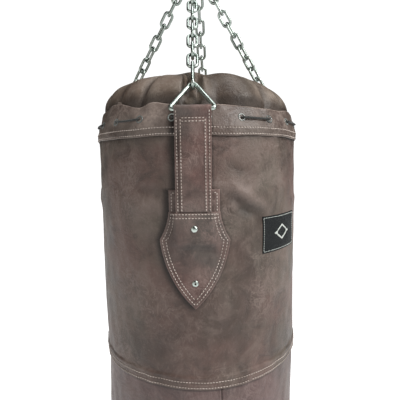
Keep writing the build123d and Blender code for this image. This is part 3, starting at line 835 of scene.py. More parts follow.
# ---------------- lining and filling
# Shapes of the cap's rise: full and flat-topped, sagged, and pressed in by a chain.
FULL_DOME = (4.5, 2.5)
SAGGED_DOME = (3.2, 1.7)
PRESSED_DOME = (3.2, 1.25)


def cap_swell(share, fullness, shoulder):
    """Share of the cap's rise at a share of its radius."""
    return np.maximum(1 - share**fullness, 0) ** (1 / shoulder)


def inner_pieces():
    """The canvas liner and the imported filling."""
    azimuth = np.arange(0, 360, 3.0)[None, :]
    floor = BAG_BOTTOM + 2 * LEATHER
    loop = [(1.0, floor), (160.0, floor), (169.6, floor + 4)]
    loop += [(169.8, z) for z in spaced(floor + 12, 0, 24)]
    loop += [(168.6, 1.0)]
    loop += [(168.0, z) for z in spaced(-2, floor + 14, 24)]
    loop += [(159.0, floor + 2), (1.0, floor + 2)]
    radius, height = as_columns(loop)
    sway = 0.25 * np.sin(9 * np.radians(azimuth) + height / 60) * ease(radius, 90, 160)
    liner = Shape()
    liner.add_grid(polar(azimuth, radius + sway, height), False, True)
    liner.piece("canvas_liner", CANVAS, "lining", ["inner_liner"])

    loop = [(1.0, floor + 3), (150.0, floor + 3), (164.5, floor + 9)]
    loop += [(166.0, z) for z in spaced(floor + 20, -20, 9)]
    loop += [(157.5, 10.0), (154.5, 24.0)]
    for share in (0.985, 0.96, 0.92, 0.87, 0.8, 0.7, 0.6, 0.48, 0.36, 0.24, 0.12, 0.006):
        # The packing stays under the cap even where a chain has pressed it in.
        loop.append((154.0 * share, 30.0 + (CAP_RISE - 4) * float(cap_swell(share, *PRESSED_DOME))))
    radius, height = as_columns(loop)
    turn = np.radians(azimuth)
    lumps = 0.8 * np.sin(11 * turn + height / 17) * np.sin(5 * turn - height / 31)
    lumpy = np.maximum(radius + lumps * ease(radius, 10, 60), 0.5)
    filling = Shape()
    filling.add_grid(polar(azimuth, lumpy, height), False, True)
    packed = filling.piece("packed_filling", TEXTILE, "filling", ["filling_core"])


# ---------------- domed cap
# Gathers of the cap: degrees right of the front, depth, width in degrees, lean, reach.
CAP_FOLDS = [
    (-27.0, 5.2, 1.5, 9.0, 0.50),
    (-4.5, 3.0, 1.4, 0.0, 0.42),
    (12.5, 5.2, 3.6, -5.0, 0.72),
    (25.0, -2.4, 6.0, 12.0, 0.62),
    (41.0, 3.0, 2.4, 6.0, 0.50),
    (60.0, 2.8, 2.0, -5.0, 0.50),
    (-46.0, 3.2, 2.6, 8.0, 0.45),
    (-62.0, 2.4, 2.0, -4.0, 0.50),
    (-84.0, 2.8, 2.0, 5.0, 0.55),
    (-128.0, 3.0, 1.8, 6.0, 0.55),
    (-149.0, 2.0, 2.6, -4.0, 0.45),
    (-168.0, 2.8, 2.0, 3.0, 0.55),
    (82.0, 2.2, 2.4, -5.0, 0.50),
    (128.0, 3.0, 1.8, 5.0, 0.55),
    (143.0, 2.2, 2.6, -5.0, 0.45),
    (160.0, 2.8, 2.0, 4.0, 0.55),
]


def cap_piece():
    """The domed cap: a slack leather crown gathered into the collar."""
    azimuth = np.arange(0, 360, 0.6)[None, :]
    # Reach 0 is at the collar and 1 at the crown, evenly along the leather.
    fine = np.sin(np.linspace(0, math.pi / 2, 400)) ** 0.5
    fine_run = np.hypot(np.diff(CAP_BASE_R * fine), np.diff(CAP_RISE * cap_swell(fine, *FULL_DOME)))
    fine_run = np.concatenate([[0.0], np.cumsum(fine_run)])
    reach = np.concatenate([np.linspace(0, 0.35, 46), np.linspace(0.35, 1, 50)[1:]])[:, None]
    share = np.interp((1 - reach) * fine_run[-1], fine_run, fine)
    plain_r = CAP_BASE_R * share
    # A chain's end link presses a narrow dent, and the right shoulder has sagged.
    pressed = ease(off_strap(azimuth), 6.5, 2.2) * ease(share, 0.72, 0.86)
    sagged = 0.75 * bell(off_front(azimuth), 68, 28)
    full = cap_swell(share, *FULL_DOME) * (1 - sagged) + cap_swell(share, *SAGGED_DOME) * sagged
    lift = full * (1 - pressed) + cap_swell(share, *PRESSED_DOME) * pressed
    height = COLLAR_TOP + CAP_RISE * lift
    turn = np.radians(azimuth)
    off = off_front(azimuth)
    puff = np.zeros(np.broadcast(azimuth, reach).shape)
    shade = np.zeros_like(puff)
    for centre, depth, width, lean, top in CAP_FOLDS:
        middle = centre + lean * reach
        away = turned(off, middle)
        fade = ease(reach, top, top * 0.25)
        widen = width * (1 + 1.6 * reach)
        groove = bell(away, 0, widen)
        lips = bell(away, 2.6 * widen, 2.2 * widen) + bell(away, -2.6 * widen, 2.2 * widen)
        puff = puff + fade * depth * (0.42 * lips - groove)
        shade = np.maximum(shade, fade * groove * 0.6)
    soft = 1.6 * np.sin(5 * turn + 3 * reach) * np.sin(3 * turn + 1) + 0.7 * np.sin(17 * turn + 9 * reach)
    puff = puff + soft * ease(reach, 1.0, 0.75) * ease(reach, 0.0, 0.15)
    arch = bell(off, 27, 9) * bell(reach, 0.075, 0.05)
    puff = puff + 3.4 * arch
    plain_z = CAP_RISE * cap_swell(share, *FULL_DOME)
    slope = np.arctan2(np.gradient(plain_z[:, 0]), -np.gradient(plain_r[:, 0]))[:, None]
    radius = plain_r + puff * np.sin(slope)
    height = height + puff * np.cos(slope)
    skirt_drop = np.array([36.0, 26.0, 16.0, 8.0, 3.0])[:, None]
    skirt_z = height[:1] - skirt_drop
    skirt_r = radius[:1] - 1.6 * ease(skirt_drop, 0, 8) + 0.16 * skirt_drop
    # Painted highlight along the raised arch at the cap's foot.
    wear = 0.35 * arch + 0 * puff
    # Painted shade: a dark line where the cap meets the collar, and a broad patch right of the front.
    shade = np.maximum(shade, 0.7 * ease(reach, 0.15, 0.05))
    shade = np.maximum(shade, 0.5 * bell(off, 18, 9) * ease(reach, 0.8, 0.4))
    dome = polar(azimuth, np.maximum(radius, 0.4), height)
    outer = np.concatenate([polar(azimuth, skirt_r, skirt_z), dome])
    skirt_mark = np.zeros(np.broadcast(skirt_drop, azimuth).shape)
    shape = Shape()
    # The skirt hidden in the collar is painted dark throughout; the fold grooves carry painted shade.
    shape.add_grid(
        outer, False, True,
        wear=np.concatenate([skirt_mark, wear]),
        grime=np.concatenate([skirt_mark + 0.8, shade]),
    )
    piece = shape.piece("cap_leather_dome", CAP_LEATHER, "brown_leather", ["top_cap"])
    thicken = piece.modifiers.new("thickness", "SOLIDIFY")
    thicken.thickness = LEATHER * MM
    thicken.offset = -1
    return piece


# ---------------- laced collar
# The collar's top edge rises and dips: degrees right of the front, rise, width.
COLLAR_EDGE = [
    (-54, 13.0, 15), (-41, 4.5, 7), (-34, 1.5, 5), (-20, 6.5, 5.5), (-12, 3.0, 6), (15, 1.8, 9),
    (40, -0.8, 9), (64, 3.5, 9), (86, -1.5, 8), (128, 4.0, 9), (147, -1.5, 7),
    (-88, 3.0, 9), (-131, 5.0, 9), (-146, -1.5, 6), (-160, 3.5, 7),
]
COLLAR_ROWS = (2.6, 11.0)
INNER_LIP = [(-53, 6.0, 9), (27, 7.0, 6), (90, 4.0, 7), (-132, 4.5, 8), (146, 4.0, 7)]


def collar_rise(azimuth, bumps):
    off = off_front(azimuth)
    total = 0.0
    for centre, rise, width in bumps:
        total = total + rise * bell(turned(off, centre), 0, width)
    return total


def collar_radius(azimuth, height):
    """Outer face of the collar: a straight sewn band, then a cone drawn in by the cord."""
    plain = LAP_R - COLLAR_SLOPE * np.maximum(height - COLLAR_BAND, 0)
    lace = (np.asarray(azimuth, float) + 90.0 - EYELET_PHASE) / EYELET_STEP + 0.5
    # The cord lies outside after every even eyelet and presses the leather in there.
    stretch = np.sin(np.pi * lace) ** 2 * np.where(np.floor(lace) % 2 == 0, -1.0, 1.0)
    lace_push = 0.9 * stretch * bell(height, EYELET_Z, 9)
    turn = np.radians(azimuth)
    slack = 1.3 * np.sin(13 * turn + 0.8) + 0.9 * np.sin(23 * turn + 2.1) + 0.5 * np.sin(41 * turn)
    slack = slack * ease(height, EYELET_Z + 5, COLLAR_TOP + 2)
    rumpled = bell(height, 27, 11) * (0.5 + 0.5 * np.sin(5 * turn))
    slack = slack + 0.8 * np.sin(31 * turn + height / 9) * rumpled
    slack = slack + 1.5 * bell(off_front(azimuth), -20, 6) * bell(height, 28, 12)
    sewn = 0.16 * np.sin(turn * LAP_R * 2 * np.pi / PITCH) * bell(height, 6.5, 5.0)
    settle = 0.35 * np.sin(9 * turn + 0.4) * ease(height, 16, 2)
    # The straps hold the collar flat where they cross it.
    strap_x = off_strap(azimuth) * math.radians(BAG_R)
    hold = 1 - 0.75 * ease(strap_x, 40, 26)
    return plain + (lace_push + slack) * hold + sewn + settle


def on_collar(azimuth, height, lift=0.0):
    return polar(azimuth, collar_radius(azimuth, height) + lift, height)


def collar_edge_wave(azimuth):
    turn = np.radians(azimuth)
    return 0.5 * np.sin(7 * turn + 1.3) + 0.3 * np.sin(16 * turn)


def collar_piece():
    """The folded collar: its lower edge, outer face, rolled lip and inner layer."""
    azimuth = np.arange(0, 360, 0.5)
    top = COLLAR_TOP + collar_rise(azimuth, COLLAR_EDGE)
    inner_top = top + 0.6 + collar_rise(azimuth, INNER_LIP)
    lip = 1.25
    rows, wear, grime = [], [], []

    def row(radius, height, pale_share=0.0, darkness=0.0):
        rows.append(polar(azimuth, radius, height))
        wear.append(np.broadcast_to(pale_share, azimuth.shape))
        grime.append(np.full(azimuth.shape, darkness))

    base = collar_edge_wave(azimuth)
    edge_r = collar_radius(azimuth, 0.0 * azimuth + 1.0) - LEATHER / 2
    for t in np.radians([-150, -120, -90, -60, -30]):
        row(edge_r + 1.1 * math.cos(t), base + 1.1 + 1.1 * math.sin(t), 0.7)
    for share in np.concatenate([np.linspace(0, 0.3, 16), np.linspace(0.3, 1, 22)[1:]]):
        height = base * (1 - share) + 1.3 + share * (top - lip - 1.3)
        groove = sum(0.3 * bell(height - base, z, 1.2) for z in COLLAR_ROWS)
        # Painted highlight on the collar's bulge left of the front strap.
        bulge_highlight = bell(off_front(azimuth), -21, 9) * bell(height, 26, 18)
        # Painted shadow beside each strap; the collar is also made darker right of the front.
        darkened = np.maximum(strap_shadow(azimuth, 25.0), 0.34 * bell(off_front(azimuth), 32, 22))
        row(collar_radius(azimuth, height) - groove, height, bulge_highlight, darkened)
    lip_r = collar_radius(azimuth, top) - lip
    for t in np.radians([25, 60, 95, 130, 165]):
        row(lip_r + lip * math.cos(t), top - lip + lip * math.sin(t), 0.85)
    # Painted shade under the rolled lip.
    row(lip_r - 1.5, top - lip - 1.6, 0.0, 0.9)
    row(lip_r - 1.9, top - lip - 1.6, 0.0, 0.9)
    lean = 0.35 * (inner_top - top)
    inner_r = lip_r - 3.2 - lean
    for t in np.radians([15, 55, 95, 135, 170]):
        row(inner_r + 1.15 * math.cos(t), inner_top - lip + 1.15 * math.sin(t), 0.8)
    for share in np.linspace(0.1, 1, 9):
        height = (inner_top - lip) * (1 - share) + 4.0 * share
        inside = collar_radius(azimuth, height) - 3.0 * (1 - share) ** 2 - 2.3
        # The inner layer gets painted shade.
        row(np.minimum(inner_r - 1.15 + 40 * share, inside), height, 0.0, 0.5)
    shape = Shape()
    shape.add_grid(np.array(rows), True, True, wear=np.array(wear), grime=np.array(grime))
    return shape.piece("collar_leather_band", COLLAR_LEATHER, "brown_leather", ["collar_band"])


def sew_collar():
    """The collar's two stitched rows, which follow its wavy lower edge."""
    shape = Shape()

    def on_band(azimuth, height):
        return on_collar(azimuth, height + collar_edge_wave(azimuth) * 0.9, -0.15)

    for row in COLLAR_ROWS:
        sew(shape, on_band, round_row(), row)
    return shape.piece("collar_stitching", THREAD, "brown_leather")


# ---------------- eyelets and drawcord
def eyelet_azimuth(index):
    return SIDES["front"] + EYELET_PHASE + (index - 0.5) * EYELET_STEP


def eyelet_axes(index):
    """Centre on the collar, outward normal and upward direction at an eyelet."""
    azimuth = eyelet_azimuth(index)
    centre = on_collar(azimuth, EYELET_Z)
    lean = math.atan(COLLAR_SLOPE)
    flat, _ = level_axes(azimuth)
    out = flat * math.cos(lean) + UP * math.sin(lean)
    return centre, out, UP * math.cos(lean) - flat * math.sin(lean)


def eyelet_pieces():
    """Rolled brass eyelets in black enamel, each set over a washer."""
    rings, washers = Shape(), Shape()
    hole, flange = EYELET_HOLE_R, EYELET_FLANGE_R
    profile = [(hole + 0.3, -3.6), (hole, -3.2), (hole, -0.6), (hole, 0.3)]
    profile += [(hole + 0.25, 0.75), (hole + 0.7, 1.02), (hole + 1.15, 1.02)]
    profile += [(flange - 0.55, 0.8), (flange - 0.12, 0.4), (flange, 0.0), (flange - 0.1, -0.25)]
    profile += [(hole + 0.5, -0.25), (hole + 0.42, -3.3), (hole + 0.3, -3.6)]
    # Paler towards the rolled rim: worn enamel, with a painted highlight.
    pale_share = [0.1, 0, 0, 0.3, 0.9, 1, 0.8, 0.3, 0.5, 0.3, 0, 0, 0, 0]
    washer = [(hole + 0.6, -2.5), (flange, -2.5), (flange, -3.2), (hole + 0.6, -3.3)]
    washer.append(washer[0])
    for index in range(EYELETS):
        centre, out, up = eyelet_axes(index)
        marks = np.array(pale_share)[:, None] * chance.uniform(0.3, 1.0)
        rings.add_grid(lathe(profile, centre, out, up), False, True, wear=marks)
        washers.add_grid(lathe(washer, centre, out, up), False, True)
    rings.piece("rolled_eyelets", ENAMEL, "black_eyelet", ["eyelets"])
    washers.piece("eyelet_backs", ENAMEL, "black_eyelet", ["eyelet_washers"])


def smooth_line(points, gap):
    """A NURBS spline through the cord's route, read back as closely spaced points."""
    curve = bpy.data.curves.new("route", "CURVE")
    curve.dimensions = "3D"
    curve.resolution_u = 10
    spline = curve.splines.new("NURBS")
    spline.points.add(len(points) - 1)
    for control, point in zip(spline.points, points):
        control.co = (*point, 1)
    spline.order_u = 3
    spline.use_endpoint_u = True
    holder = bpy.data.objects.new("route", curve)
    mesh = bpy.data.meshes.new_from_object(holder)
    line = np.array([v.co for v in mesh.vertices])
    bpy.data.objects.remove(holder)
    bpy.data.meshes.remove(mesh)
    bpy.data.curves.remove(curve)
    run = run_length(line)
    places = np.linspace(0, run[-1], int(run[-1] / gap) + 2)
    return np.stack([np.interp(places, run, line[:, k]) for k in range(3)], -1), places


def tube(shape, points, radius, gap=1.2):
    """A round cord along a route, marked with its length and turn for the braid."""
    line, places = smooth_line(points, gap)
    tangent = unit(np.gradient(line, axis=0))
    side = unit(np.cross(tangent, np.array([0.02, 0.01, 1.0])))
    other = np.cross(tangent, side)
    girth = np.full(len(line), float(radius))
    girth[0] = girth[-1] = 0.02
    girth[1] = girth[-2] = radius * 0.8
    turn = np.linspace(0, 2 * np.pi, 10, endpoint=False)
    ring = np.cos(turn)[None, :, None] * side[:, None] + np.sin(turn)[None, :, None] * other[:, None]
    grid = line[:, None] + ring * girth[:, None, None]
    shape.add_grid(grid, False, True, along=places[:, None], around=4.0 * turn[None, :])


def cord_pieces():
    """The lace goes out through one eyelet and in through the next, and ties behind."""
    knot_az = eyelet_azimuth(KNOT_INDEX + 0.5)
    eyelet_r = float(LAP_R - COLLAR_SLOPE * (EYELET_Z - COLLAR_BAND))

    def stop(radius, azimuth, along=0.0, rise=0.0):
        return polar(azimuth + math.degrees(along / radius), radius, EYELET_Z + rise)

    route = [stop(eyelet_r + KNOT_OUT, knot_az, 5.0)]
    for k in range(1, EYELETS + 1):
        here = eyelet_azimuth(KNOT_INDEX + k)
        before, after = (CORD_OUT, CORD_IN) if k % 2 else (CORD_IN, CORD_OUT)
        for lift, along in (
            (before, -CORD_SHIFT - 1.2), (before, -CORD_SHIFT * 0.5),
            (after, CORD_SHIFT * 0.5), (after, CORD_SHIFT + 1.2),
        ):
            route.append(stop(eyelet_r + lift, here, along))
        if k < EYELETS:
            droop = chance.uniform(-1.4, 0.5) if after > 0 else 0.0
            route.append(stop(eyelet_r + after, here + EYELET_STEP / 2, 0.0, droop))
    route.append(stop(eyelet_r + KNOT_OUT, knot_az, -5.0))
    lace = Shape()
    tube(lace, np.array(route), CORD_R)
    lace.piece("lace_cord", CORD, "black_cord", ["drawcord"])

    knot = Shape()
    middle = stop(eyelet_r + KNOT_OUT + 0.6, knot_az)
    out, along = level_axes(knot_az)
    wrap = []
    for step in range(19):
        t = 2 * math.pi * step / 6.0
        drift = -3.6 + 7.2 * step / 18.0
        wrap.append(middle + along * drift + UP * 2.5 * math.cos(t) + out * 2.3 * math.sin(t))
    tube(knot, np.array(wrap), 1.35, 0.7)
    for sign in (-1, 1):
        tail = [middle + along * 3.0 * sign + out * 0.5]
        falls = ((6, -3, 1.4), (9, -9, 1.8), (8.5, -17, 2.2), (10, -25, 2.6), (9 + sign, -33, 3.4))
        for reach, fall, lift in falls:
            tail.append(middle + along * sign * reach + UP * fall + out * lift)
        tube(knot, np.array(tail), CORD_R, 0.8)
    knot.piece("lace_knot", CORD, "black_cord", ["drawcord_knot"])


# ---------------- sewn patches
def arc_through(first, middle, last):
    """x as a function of height on the circle through three points."""
    (x1, z1), (x2, z2), (x3, z3) = first, middle, last
    d = 2 * (x1 * (z2 - z3) + x2 * (z3 - z1) + x3 * (z1 - z2))
    s1, s2, s3 = x1**2 + z1**2, x2**2 + z2**2, x3**2 + z3**2
    cx = (s1 * (z2 - z3) + s2 * (z3 - z1) + s3 * (z1 - z2)) / d
    cz = (s1 * (x3 - x2) + s2 * (x1 - x3) + s3 * (x2 - x1)) / d
    radius = math.hypot(x1 - cx, z1 - cz)
    sign = 1.0 if x2 > cx else -1.0
    return lambda z: cx + sign * np.sqrt(np.maximum(radius**2 - (z - cz) ** 2, 0))


NECK_ARC = arc_through((EAR_HALF, COVER_TOP), (41, -127), SHOULDER)
BLADE_ARC = arc_through(SHOULDER, (35, -197), (0, PATCH_TIP))


def patch_half_width(height):
    """Half width of the spearhead outline, ears included."""
    blade = BLADE_ARC(np.clip(height, PATCH_TIP, SHOULDER[1]))
    neck = NECK_ARC(np.clip(height, SHOULDER[1], COVER_TOP))
    upper = np.where(height > COVER_TOP, EAR_HALF, neck)
    return np.where(height > SHOULDER[1], upper, np.maximum(blade, 0.0))


def slanted(width, heights):
    """How much longer a sloping outline makes a sideways step than a square one."""
    return np.sqrt(1 + np.clip(np.gradient(width, heights), -2.5, 2.5) ** 2)


INSETS = np.array([0, 0.12, 0.45, 0.9, 1.5, 2.4, 3.5, 4.1, 4.7, 5.3, 6.6, 8.2, 9.2, 9.8, 10.4, 12.0])
PATCH_ROWS = (4.6, 9.8)


def raised_sheet(shape, place, half_width, top, bottom, thickness, rows, extra=None, both_ends=False):
    """A sewn-on piece of leather: rounded edge, sunk stitch rows, flat back.

    place(x, z, lift) puts a point, and half_width(z) is the outline. extra(x, z) adds
    height inside the outline.
    """
    start = top - np.array([0, 0.12, 0.45, 0.9, 1.5, 2.2, 2.8, 3.6, 5.0, 7.0, 7.8, 8.6, 10.0])
    stop = bottom + np.array([10, 8.6, 7.0, 5.3, 4.7, 4.1, 3.2, 2.2, 1.5, 0.9, 0.45, 0.12, 0.0])
    heights = np.concatenate([start[:-1], spaced(start[-1], stop[0], 1.8), stop[1:]])
    width = half_width(heights)
    slant = slanted(width, heights)
    squeeze = np.minimum(1.0, width / (13.0 * slant))
    inset = INSETS[None, :] * (slant * squeeze)[:, None]
    outer = width[:, None] - inset
    inner = outer[:, -1:] * np.linspace(1, -1, 14)[None, 1:-1]
    x = np.concatenate([outer, inner, -outer[:, ::-1]], 1)
    z = np.broadcast_to(heights[:, None], x.shape)
    side = (width[:, None] - np.abs(x)) / slant[:, None]
    edge = np.minimum(side, top - z)
    if both_ends:
        edge = np.minimum(edge, z - bottom)
    edge = np.maximum(edge, 0)
    roll = np.minimum(edge / 1.5, 1.0)
    lift = thickness * np.sqrt(1 - (1 - roll) ** 2)
    sunk = sum(0.34 * bell(side, row, 0.75) for row in rows)
    crown = 0.25 * ease(side, 0.8, 3.2)
    lift = lift + (crown - sunk) * np.minimum(roll, 1)
    if extra is not None:
        lift = lift + extra(x, z) * roll
    wear = 0.75 * np.exp(-edge / 0.9)
    front = place(x, z, lift)
    back = place(x, z, np.zeros(x.shape))
    # Darker along the sunk stitch rows.
    shape.add_grid(front, wear=wear, grime=0.25 * sunk)
    shape.add_grid(back[:, ::-1], wear=0.0)


def sheet_on_skin(azimuth, base):
    """Places a sheet against the round body, its x measured along the skin."""

    def place(x, z, lift):
        where = azimuth + np.degrees(x / BAG_R)
        return polar(where, base + relief(where, z) + lift, z)

    return place


def sheet_on_strap(azimuth, base):
    """Places a flat sheet square to a strap."""
    out, along = level_axes(azimuth)

    def place(x, z, lift):
        x, z, lift = np.broadcast_arrays(x, z, lift)
        return out * (base + lift)[..., None] + along * x[..., None] + UP * z[..., None]

    return place


COVER_BASE = LAP_R + 0.1
TAIL_HEIGHT = STRAP_FACE + LEATHER + 0.1 - (COVER_BASE + LEATHER)


def tail_bulge(x, z):
    """The strap's tail under the cover patch lifts it, less and less past its end."""
    across = ease(np.abs(x), STRAP_W / 2 + 6.5, STRAP_W / 2 - 1.0)
    along = ease(z, STRAP_TAIL - 9, STRAP_TAIL + 2)
    # The strap is flat and the body is round, so the lift falls off to the sides.
    round_drop = x**2 / (2 * BAG_R)
    dent = -0.7 * bell(np.hypot(x, z - RIVET_DOMED_Z), 0, 7.5)
    dent = dent - 0.5 * bell(np.hypot(x, z - RIVET_TUBULAR_Z), 0, 6.5)
    return (TAIL_HEIGHT + round_drop) * across * along + dent


def patch_pieces():
    """Each strap's base patch and spearhead cover, and their stitches."""
    threads = Shape()
    for side, azimuth in SIDES.items():
        base = Shape()
        on_base = sheet_on_skin(azimuth, BAG_R + 0.1)
        raised_sheet(base, on_base, patch_half_width, EARS_TOP, PATCH_TIP, LEATHER, ())
        base.piece(f"base_patch_leather_{side}", STRAP_LEATHER, "brown_leather", [f"base_patch_{side}"])
        cover = Shape()
        on_cover = sheet_on_skin(azimuth, COVER_BASE)
        raised_sheet(
            cover, on_cover, patch_half_width, COVER_TOP, PATCH_TIP, LEATHER, PATCH_ROWS, tail_bulge
        )
        cover.piece(f"cover_patch_leather_{side}", STRAP_LEATHER, "brown_leather", [f"cover_patch_{side}"])

        def on_face(x, z, on_cover=on_cover):
            return on_cover(x, z, LEATHER + 0.05 + tail_bulge(x, z))

        for inset in PATCH_ROWS:
            heights = spaced(COVER_TOP - 1.5, PATCH_TIP + 0.5, 0.8)
            width = patch_half_width(heights)
            reach = width - inset * slanted(width, heights)
            kept = reach > 0.4
            for sign in (-1, 1):
                sew(threads, on_face, sign * reach[kept], heights[kept])
        for drop in (2.7, 8.0):
            x = spaced(-EAR_HALF + 5.5, EAR_HALF - 5.5, 1.0)
            sew(threads, on_face, x, COVER_TOP - drop)

        def on_ear(x, z, on_base=on_base):
            return on_base(x, z, LEATHER + 0.05)

        for sign in (-1, 1):
            heights = spaced(EARS_TOP - EAR_ROW, COVER_TOP, 1.0)
            sew(threads, on_ear, sign * (EAR_HALF - 4.6), heights)
            x = spaced(STRAP_W / 2 + 1.0, EAR_HALF - 4.6, 1.0) * sign
            sew(threads, on_ear, x, EARS_TOP - EAR_ROW)
    threads.piece("patch_stitching", THREAD, "brown_leather")


# ---------------- hanging straps
STRAP_ROW = 22.2
STRAP_X = np.array([0, 4, 8, 12, 15, 18, 19.6, 20.6, 21.2, 21.7, 22.2, 22.7, 23.2, 23.8, 24.35])


def strap_swing(height):
    """How far the strap's face stands out where it rises to wrap the triangle's bar."""
    return (BAR_R + BAR_WIRE_R + LEATHER - STRAP_FACE) * ease(height, 20.0, BAR_Z)


def strap_sway(height, number):
    """How far a strap, given its number, strays from its flat face."""
    return 0.22 * np.sin(height / 31 + number) + 0.12 * np.sin(height / 11 + 2 * number)


def strap_bow(x, height, number):
    """How far a strap's edges curl."""
    return 0.35 * (x / 25.0) ** 2 * np.sin(height / 40 + number)


def facing_half_width(height):
    return np.full(height.shape, FACING_W / 2)


def strap_route():
    """Middle of the strap's leather as (radius, height), tail to tail round the bar."""
    mid = LEATHER / 2
    loop_r = BAR_WIRE_R + mid
    front = [(STRAP_FACE - mid, z) for z in spaced(STRAP_TAIL, 18, 3.0)]
    swing = [(STRAP_FACE - mid + float(strap_swing(z)), z) for z in spaced(20, BAR_Z - 1, 1.6)]
    over = half_round(BAR_R, BAR_Z, loop_r, 0, 180, 15)
    back = [(STRAP_BACK + mid, z) for z in spaced(BAR_Z - 5, STRAP_TAIL, 4.0)]
    return np.array(front + swing + over + back)


def strap_section():
    """Closed outline of the strap across its width, as (x, thickness) pairs."""
    half = LEATHER / 2
    right = [(x, half - 0.22 * bell(x, STRAP_ROW, 0.8)) for x in STRAP_X]
    turn = [(24.35 + 0.65 * math.sin(t), half * math.cos(t)) for t in np.radians([30, 60, 90, 120, 150])]
    under = [(x, -half) for x in STRAP_X[::-2]]
    top_right = right + turn + under
    mirrored = [(-x, t) for x, t in top_right[::-1] if x > 0.01]
    return np.array(top_right + mirrored)


def strap_pieces():
    """Each folded strap, the facing sewn on it, and their stitches."""
    route = strap_route()
    section = strap_section()
    tangent = unit(np.gradient(route, axis=0))
    normal = np.stack([tangent[:, 1], -tangent[:, 0]], -1)
    threads = Shape()
    for number, (side, azimuth) in enumerate(SIDES.items()):
        out, along = level_axes(azimuth)
        sway = strap_sway(route[:, 1:], number)
        drift = 0.5 * np.sin(route[:, 1] / 70 + 1.7 * number)
        x = section[None, :, 0] + drift[:, None]
        t = section[None, :, 1] * np.ones((len(route), 1))
        t[0] = t[-1] = 0.02 * np.sign(t[0])
        bow = strap_bow(section[None, :, 0], route[:, 1:], number)
        radius = route[:, :1] + normal[:, :1] * t + sway + bow
        height = route[:, 1:] + normal[:, 1:] * t
        points = out * radius[..., None] + along * x[..., None] + UP * height[..., None]
        rim = np.exp(-(25.0 - np.abs(section[:, 0])) / 0.7)[None, :]
        strap = Shape()
        strap.add_grid(points, False, True, wear=0.8 * rim + 0 * t)
        strap.piece(f"strap_leather_{side}", STRAP_LEATHER, "brown_leather", [f"strap_{side}"])

        facing = Shape()
        on_strap = sheet_on_strap(azimuth, STRAP_FACE - 0.1)
        bottom = COVER_TOP + 0.3
        raised_sheet(
            facing, on_strap, facing_half_width, FACING_TOP, bottom, FACING_T, (), both_ends=True
        )
        facing.piece(f"facing_leather_{side}", STRAP_LEATHER, "brown_leather", [f"strap_facing_{side}"])

        def on_edge(x, z, azimuth=azimuth, number=number):
            lift = strap_swing(z) + strap_sway(z, number) + strap_bow(x, z, number) - 0.12
            return sheet_on_strap(azimuth, STRAP_FACE)(x, z, lift)

        def on_facing(x, z, on_strap=on_strap):
            return on_strap(x, z, FACING_T + 0.16)

        heights = spaced(BAR_Z - 2, COVER_TOP + 1, 1.2)
        for sign in (-1, 1):
            sew(threads, on_edge, sign * STRAP_ROW, heights)
            inner = heights[heights < FACING_TOP - 2]
            sew(threads, on_facing, sign * (FACING_W / 2 - FACING_ROW), inner)
        for drop in (2.0, 6.2):
            x = spaced(-FACING_W / 2 + 2.8, FACING_W / 2 - 2.8, 1.0)
            sew(threads, on_facing, x, FACING_TOP - drop)
    threads.piece("strap_stitching", THREAD, "brown_leather")


# ---------------- rivets and label
def rivet_pieces():
    """One domed and one tubular rivet through each patch, each on a washer inside."""
    domed, tubular, burrs = Shape(), Shape(), Shape()
    dome = [(0.05, 2.25), (1.2, 2.2), (2.4, 1.95), (3.5, 1.45), (4.3, 0.8), (RIVET_R, 0.1), (4.7, -0.4)]
    dome += [(2.0, -0.5), (2.0, -13.0), (0.05, -13.1)]
    pipe = [(0.05, -4.0), (1.3, -4.0), (1.35, 1.2), (1.6, 1.75), (2.1, 1.95), (2.9, 1.75), (3.9, 1.25)]
    pipe += [(RIVET_R, 0.35), (4.75, -0.3), (2.0, -0.4), (2.0, -7.5), (0.05, -7.6)]
    burr = [(2.05, 0.2), (5.0, 0.2), (5.0, -0.6), (2.05, -0.6), (2.05, 0.2)]
    for azimuth in SIDES.values():
        out, _ = level_axes(azimuth)
        for z, profile, shape in ((RIVET_DOMED_Z, dome, domed), (RIVET_TUBULAR_Z, pipe, tubular)):
            lift = float(tail_bulge(np.array(0.0), np.array(z)))
            seat = COVER_BASE + LEATHER + 0.2 + lift + float(relief(np.array(azimuth), np.array(z)))
            centre = polar(azimuth, seat, z)
            pale_share = 0.6 * bell(np.array(profile)[:, :1], 4.4, 0.6)
            shape.add_grid(lathe(profile, centre, out, UP, 36), False, True, wear=pale_share)
            back = polar(azimuth, BAG_R - LEATHER - 0.5, z)
            burrs.add_grid(lathe(burr, back, out, UP), False, True)
    domed.piece("domed_rivet_heads", ZINC, "zinc_steel", ["rivets_domed"])
    tubular.piece("tubular_rivet_heads", ZINC, "zinc_steel", ["rivets_tubular"])
    burrs.piece("rivet_backs", ZINC, "zinc_steel", ["rivet_burrs"])


def rimmed(half, count):
    """Even places from -half to half, with two more close to each end for the rim."""
    rim = half - np.array([0, 0.2, 0.6])
    return np.concatenate([-rim, np.linspace(1.2 - half, half - 1.2, count), rim[::-1]])


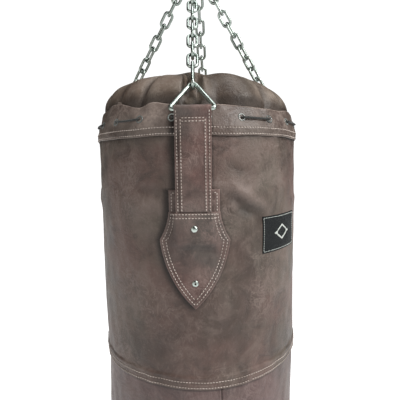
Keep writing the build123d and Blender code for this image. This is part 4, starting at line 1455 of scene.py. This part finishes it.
def label_piece():
    """A black woven label with a sewn border and a plain embroidered lozenge."""
    shape = Shape()
    on_label = sheet_on_skin(LABEL_AZ, BAG_R + 0.1)
    x = rimmed(LABEL_W / 2, 74)[None, :]
    z = rimmed(LABEL_H / 2, 44)[::-1, None]
    edge = np.minimum(LABEL_W / 2 - np.abs(x), LABEL_H / 2 - np.abs(z))
    roll = np.minimum(np.maximum(edge, 0) / 0.8, 1)
    lift = 0.9 * np.sqrt(1 - (1 - roll) ** 2)
    lift = lift + roll * (0.22 * np.sin(x / 9 + z / 13) + 0.12 * np.sin(z / 4 - x / 17))
    lift = lift - 0.3 * bell(edge, LABEL_ROW, 0.8)
    x, z, lift = np.broadcast_arrays(x, z, lift)
    shape.add_grid(on_label(x, z + LABEL_Z, lift), across=x, up=z)
    shape.add_grid(on_label(x, z + LABEL_Z, 0 * lift)[:, ::-1], across=x, up=z)
    label = shape.piece("woven_label", SATIN, "label_cloth", ["label"])

    def on_cloth(across, height):
        rise = 0.95 + 0.22 * np.sin(across / 9 + (height - LABEL_Z) / 13)
        return on_label(across, height, rise - 0.3)

    border = Shape()
    right, top = LABEL_W / 2 - LABEL_ROW, LABEL_H / 2 - LABEL_ROW
    across = spaced(-right, right, 1.0)
    rise = spaced(-top, top, 1.0)
    for sign in (-1, 1):
        sew(border, on_cloth, across, LABEL_Z + sign * top, LABEL_PITCH, LABEL_THREAD_R)
        sew(border, on_cloth, sign * right, LABEL_Z + rise, LABEL_PITCH, LABEL_THREAD_R)

    def on_mark(across, height):
        return on_cloth(across, height) + polar(LABEL_AZ, 0.35, 0.0)

    # Satin stitch fills a ring-shaped lozenge, one upright thread beside another.
    for across_at in np.arange(-21.0, 21.01, 0.8):
        reach = 13.0 * (1 - abs(across_at) / 22.0)
        hollow = reach - 4.4
        spans = [(-reach, reach)] if hollow < 0.8 else [(-reach, -hollow), (hollow, reach)]
        for low, high in spans:
            if high - low > 0.8:
                height = np.linspace(low, high, 4) + LABEL_Z
                sew(border, on_mark, across_at, height, (high - low) * 0.98, 0.4)
    mark = border.piece("label_stitching", PALE_THREAD, "label_cloth")


# ---------------- metal kept from the CAD
def finish_metal():
    """Every CAD node that is shown keeps its shape and gets its plate or ground steel."""
    for name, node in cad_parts.items():
        if node.hide_render:
            continue
        material = STEEL if name.startswith("bearing") else ZINC
        node.data.materials.clear()
        node.data.materials.append(material)
        for polygon in node.data.polygons:
            polygon.use_smooth = True


# ---------------- build
set_camera()
set_stage()
body_panel("upper", SKIN_TOP, UPPER_SEAM, True, UPPER_ROWS, BODY_LEATHER)
body_panel("middle", UPPER_SEAM + SEAM_LAP, LOWER_SEAM, True, LOWER_ROWS, LOWER_LEATHER)
body_panel("lower", LOWER_SEAM + SEAM_LAP, BAG_BOTTOM + LEATHER, False, (BOTTOM_ROW,), LOWER_LEATHER)
bottom_piece()
inner_pieces()
cap_piece()
collar_piece()
sew_body()
sew_collar()
eyelet_pieces()
cord_pieces()
patch_pieces()
strap_pieces()
rivet_pieces()
label_piece()
finish_metal()
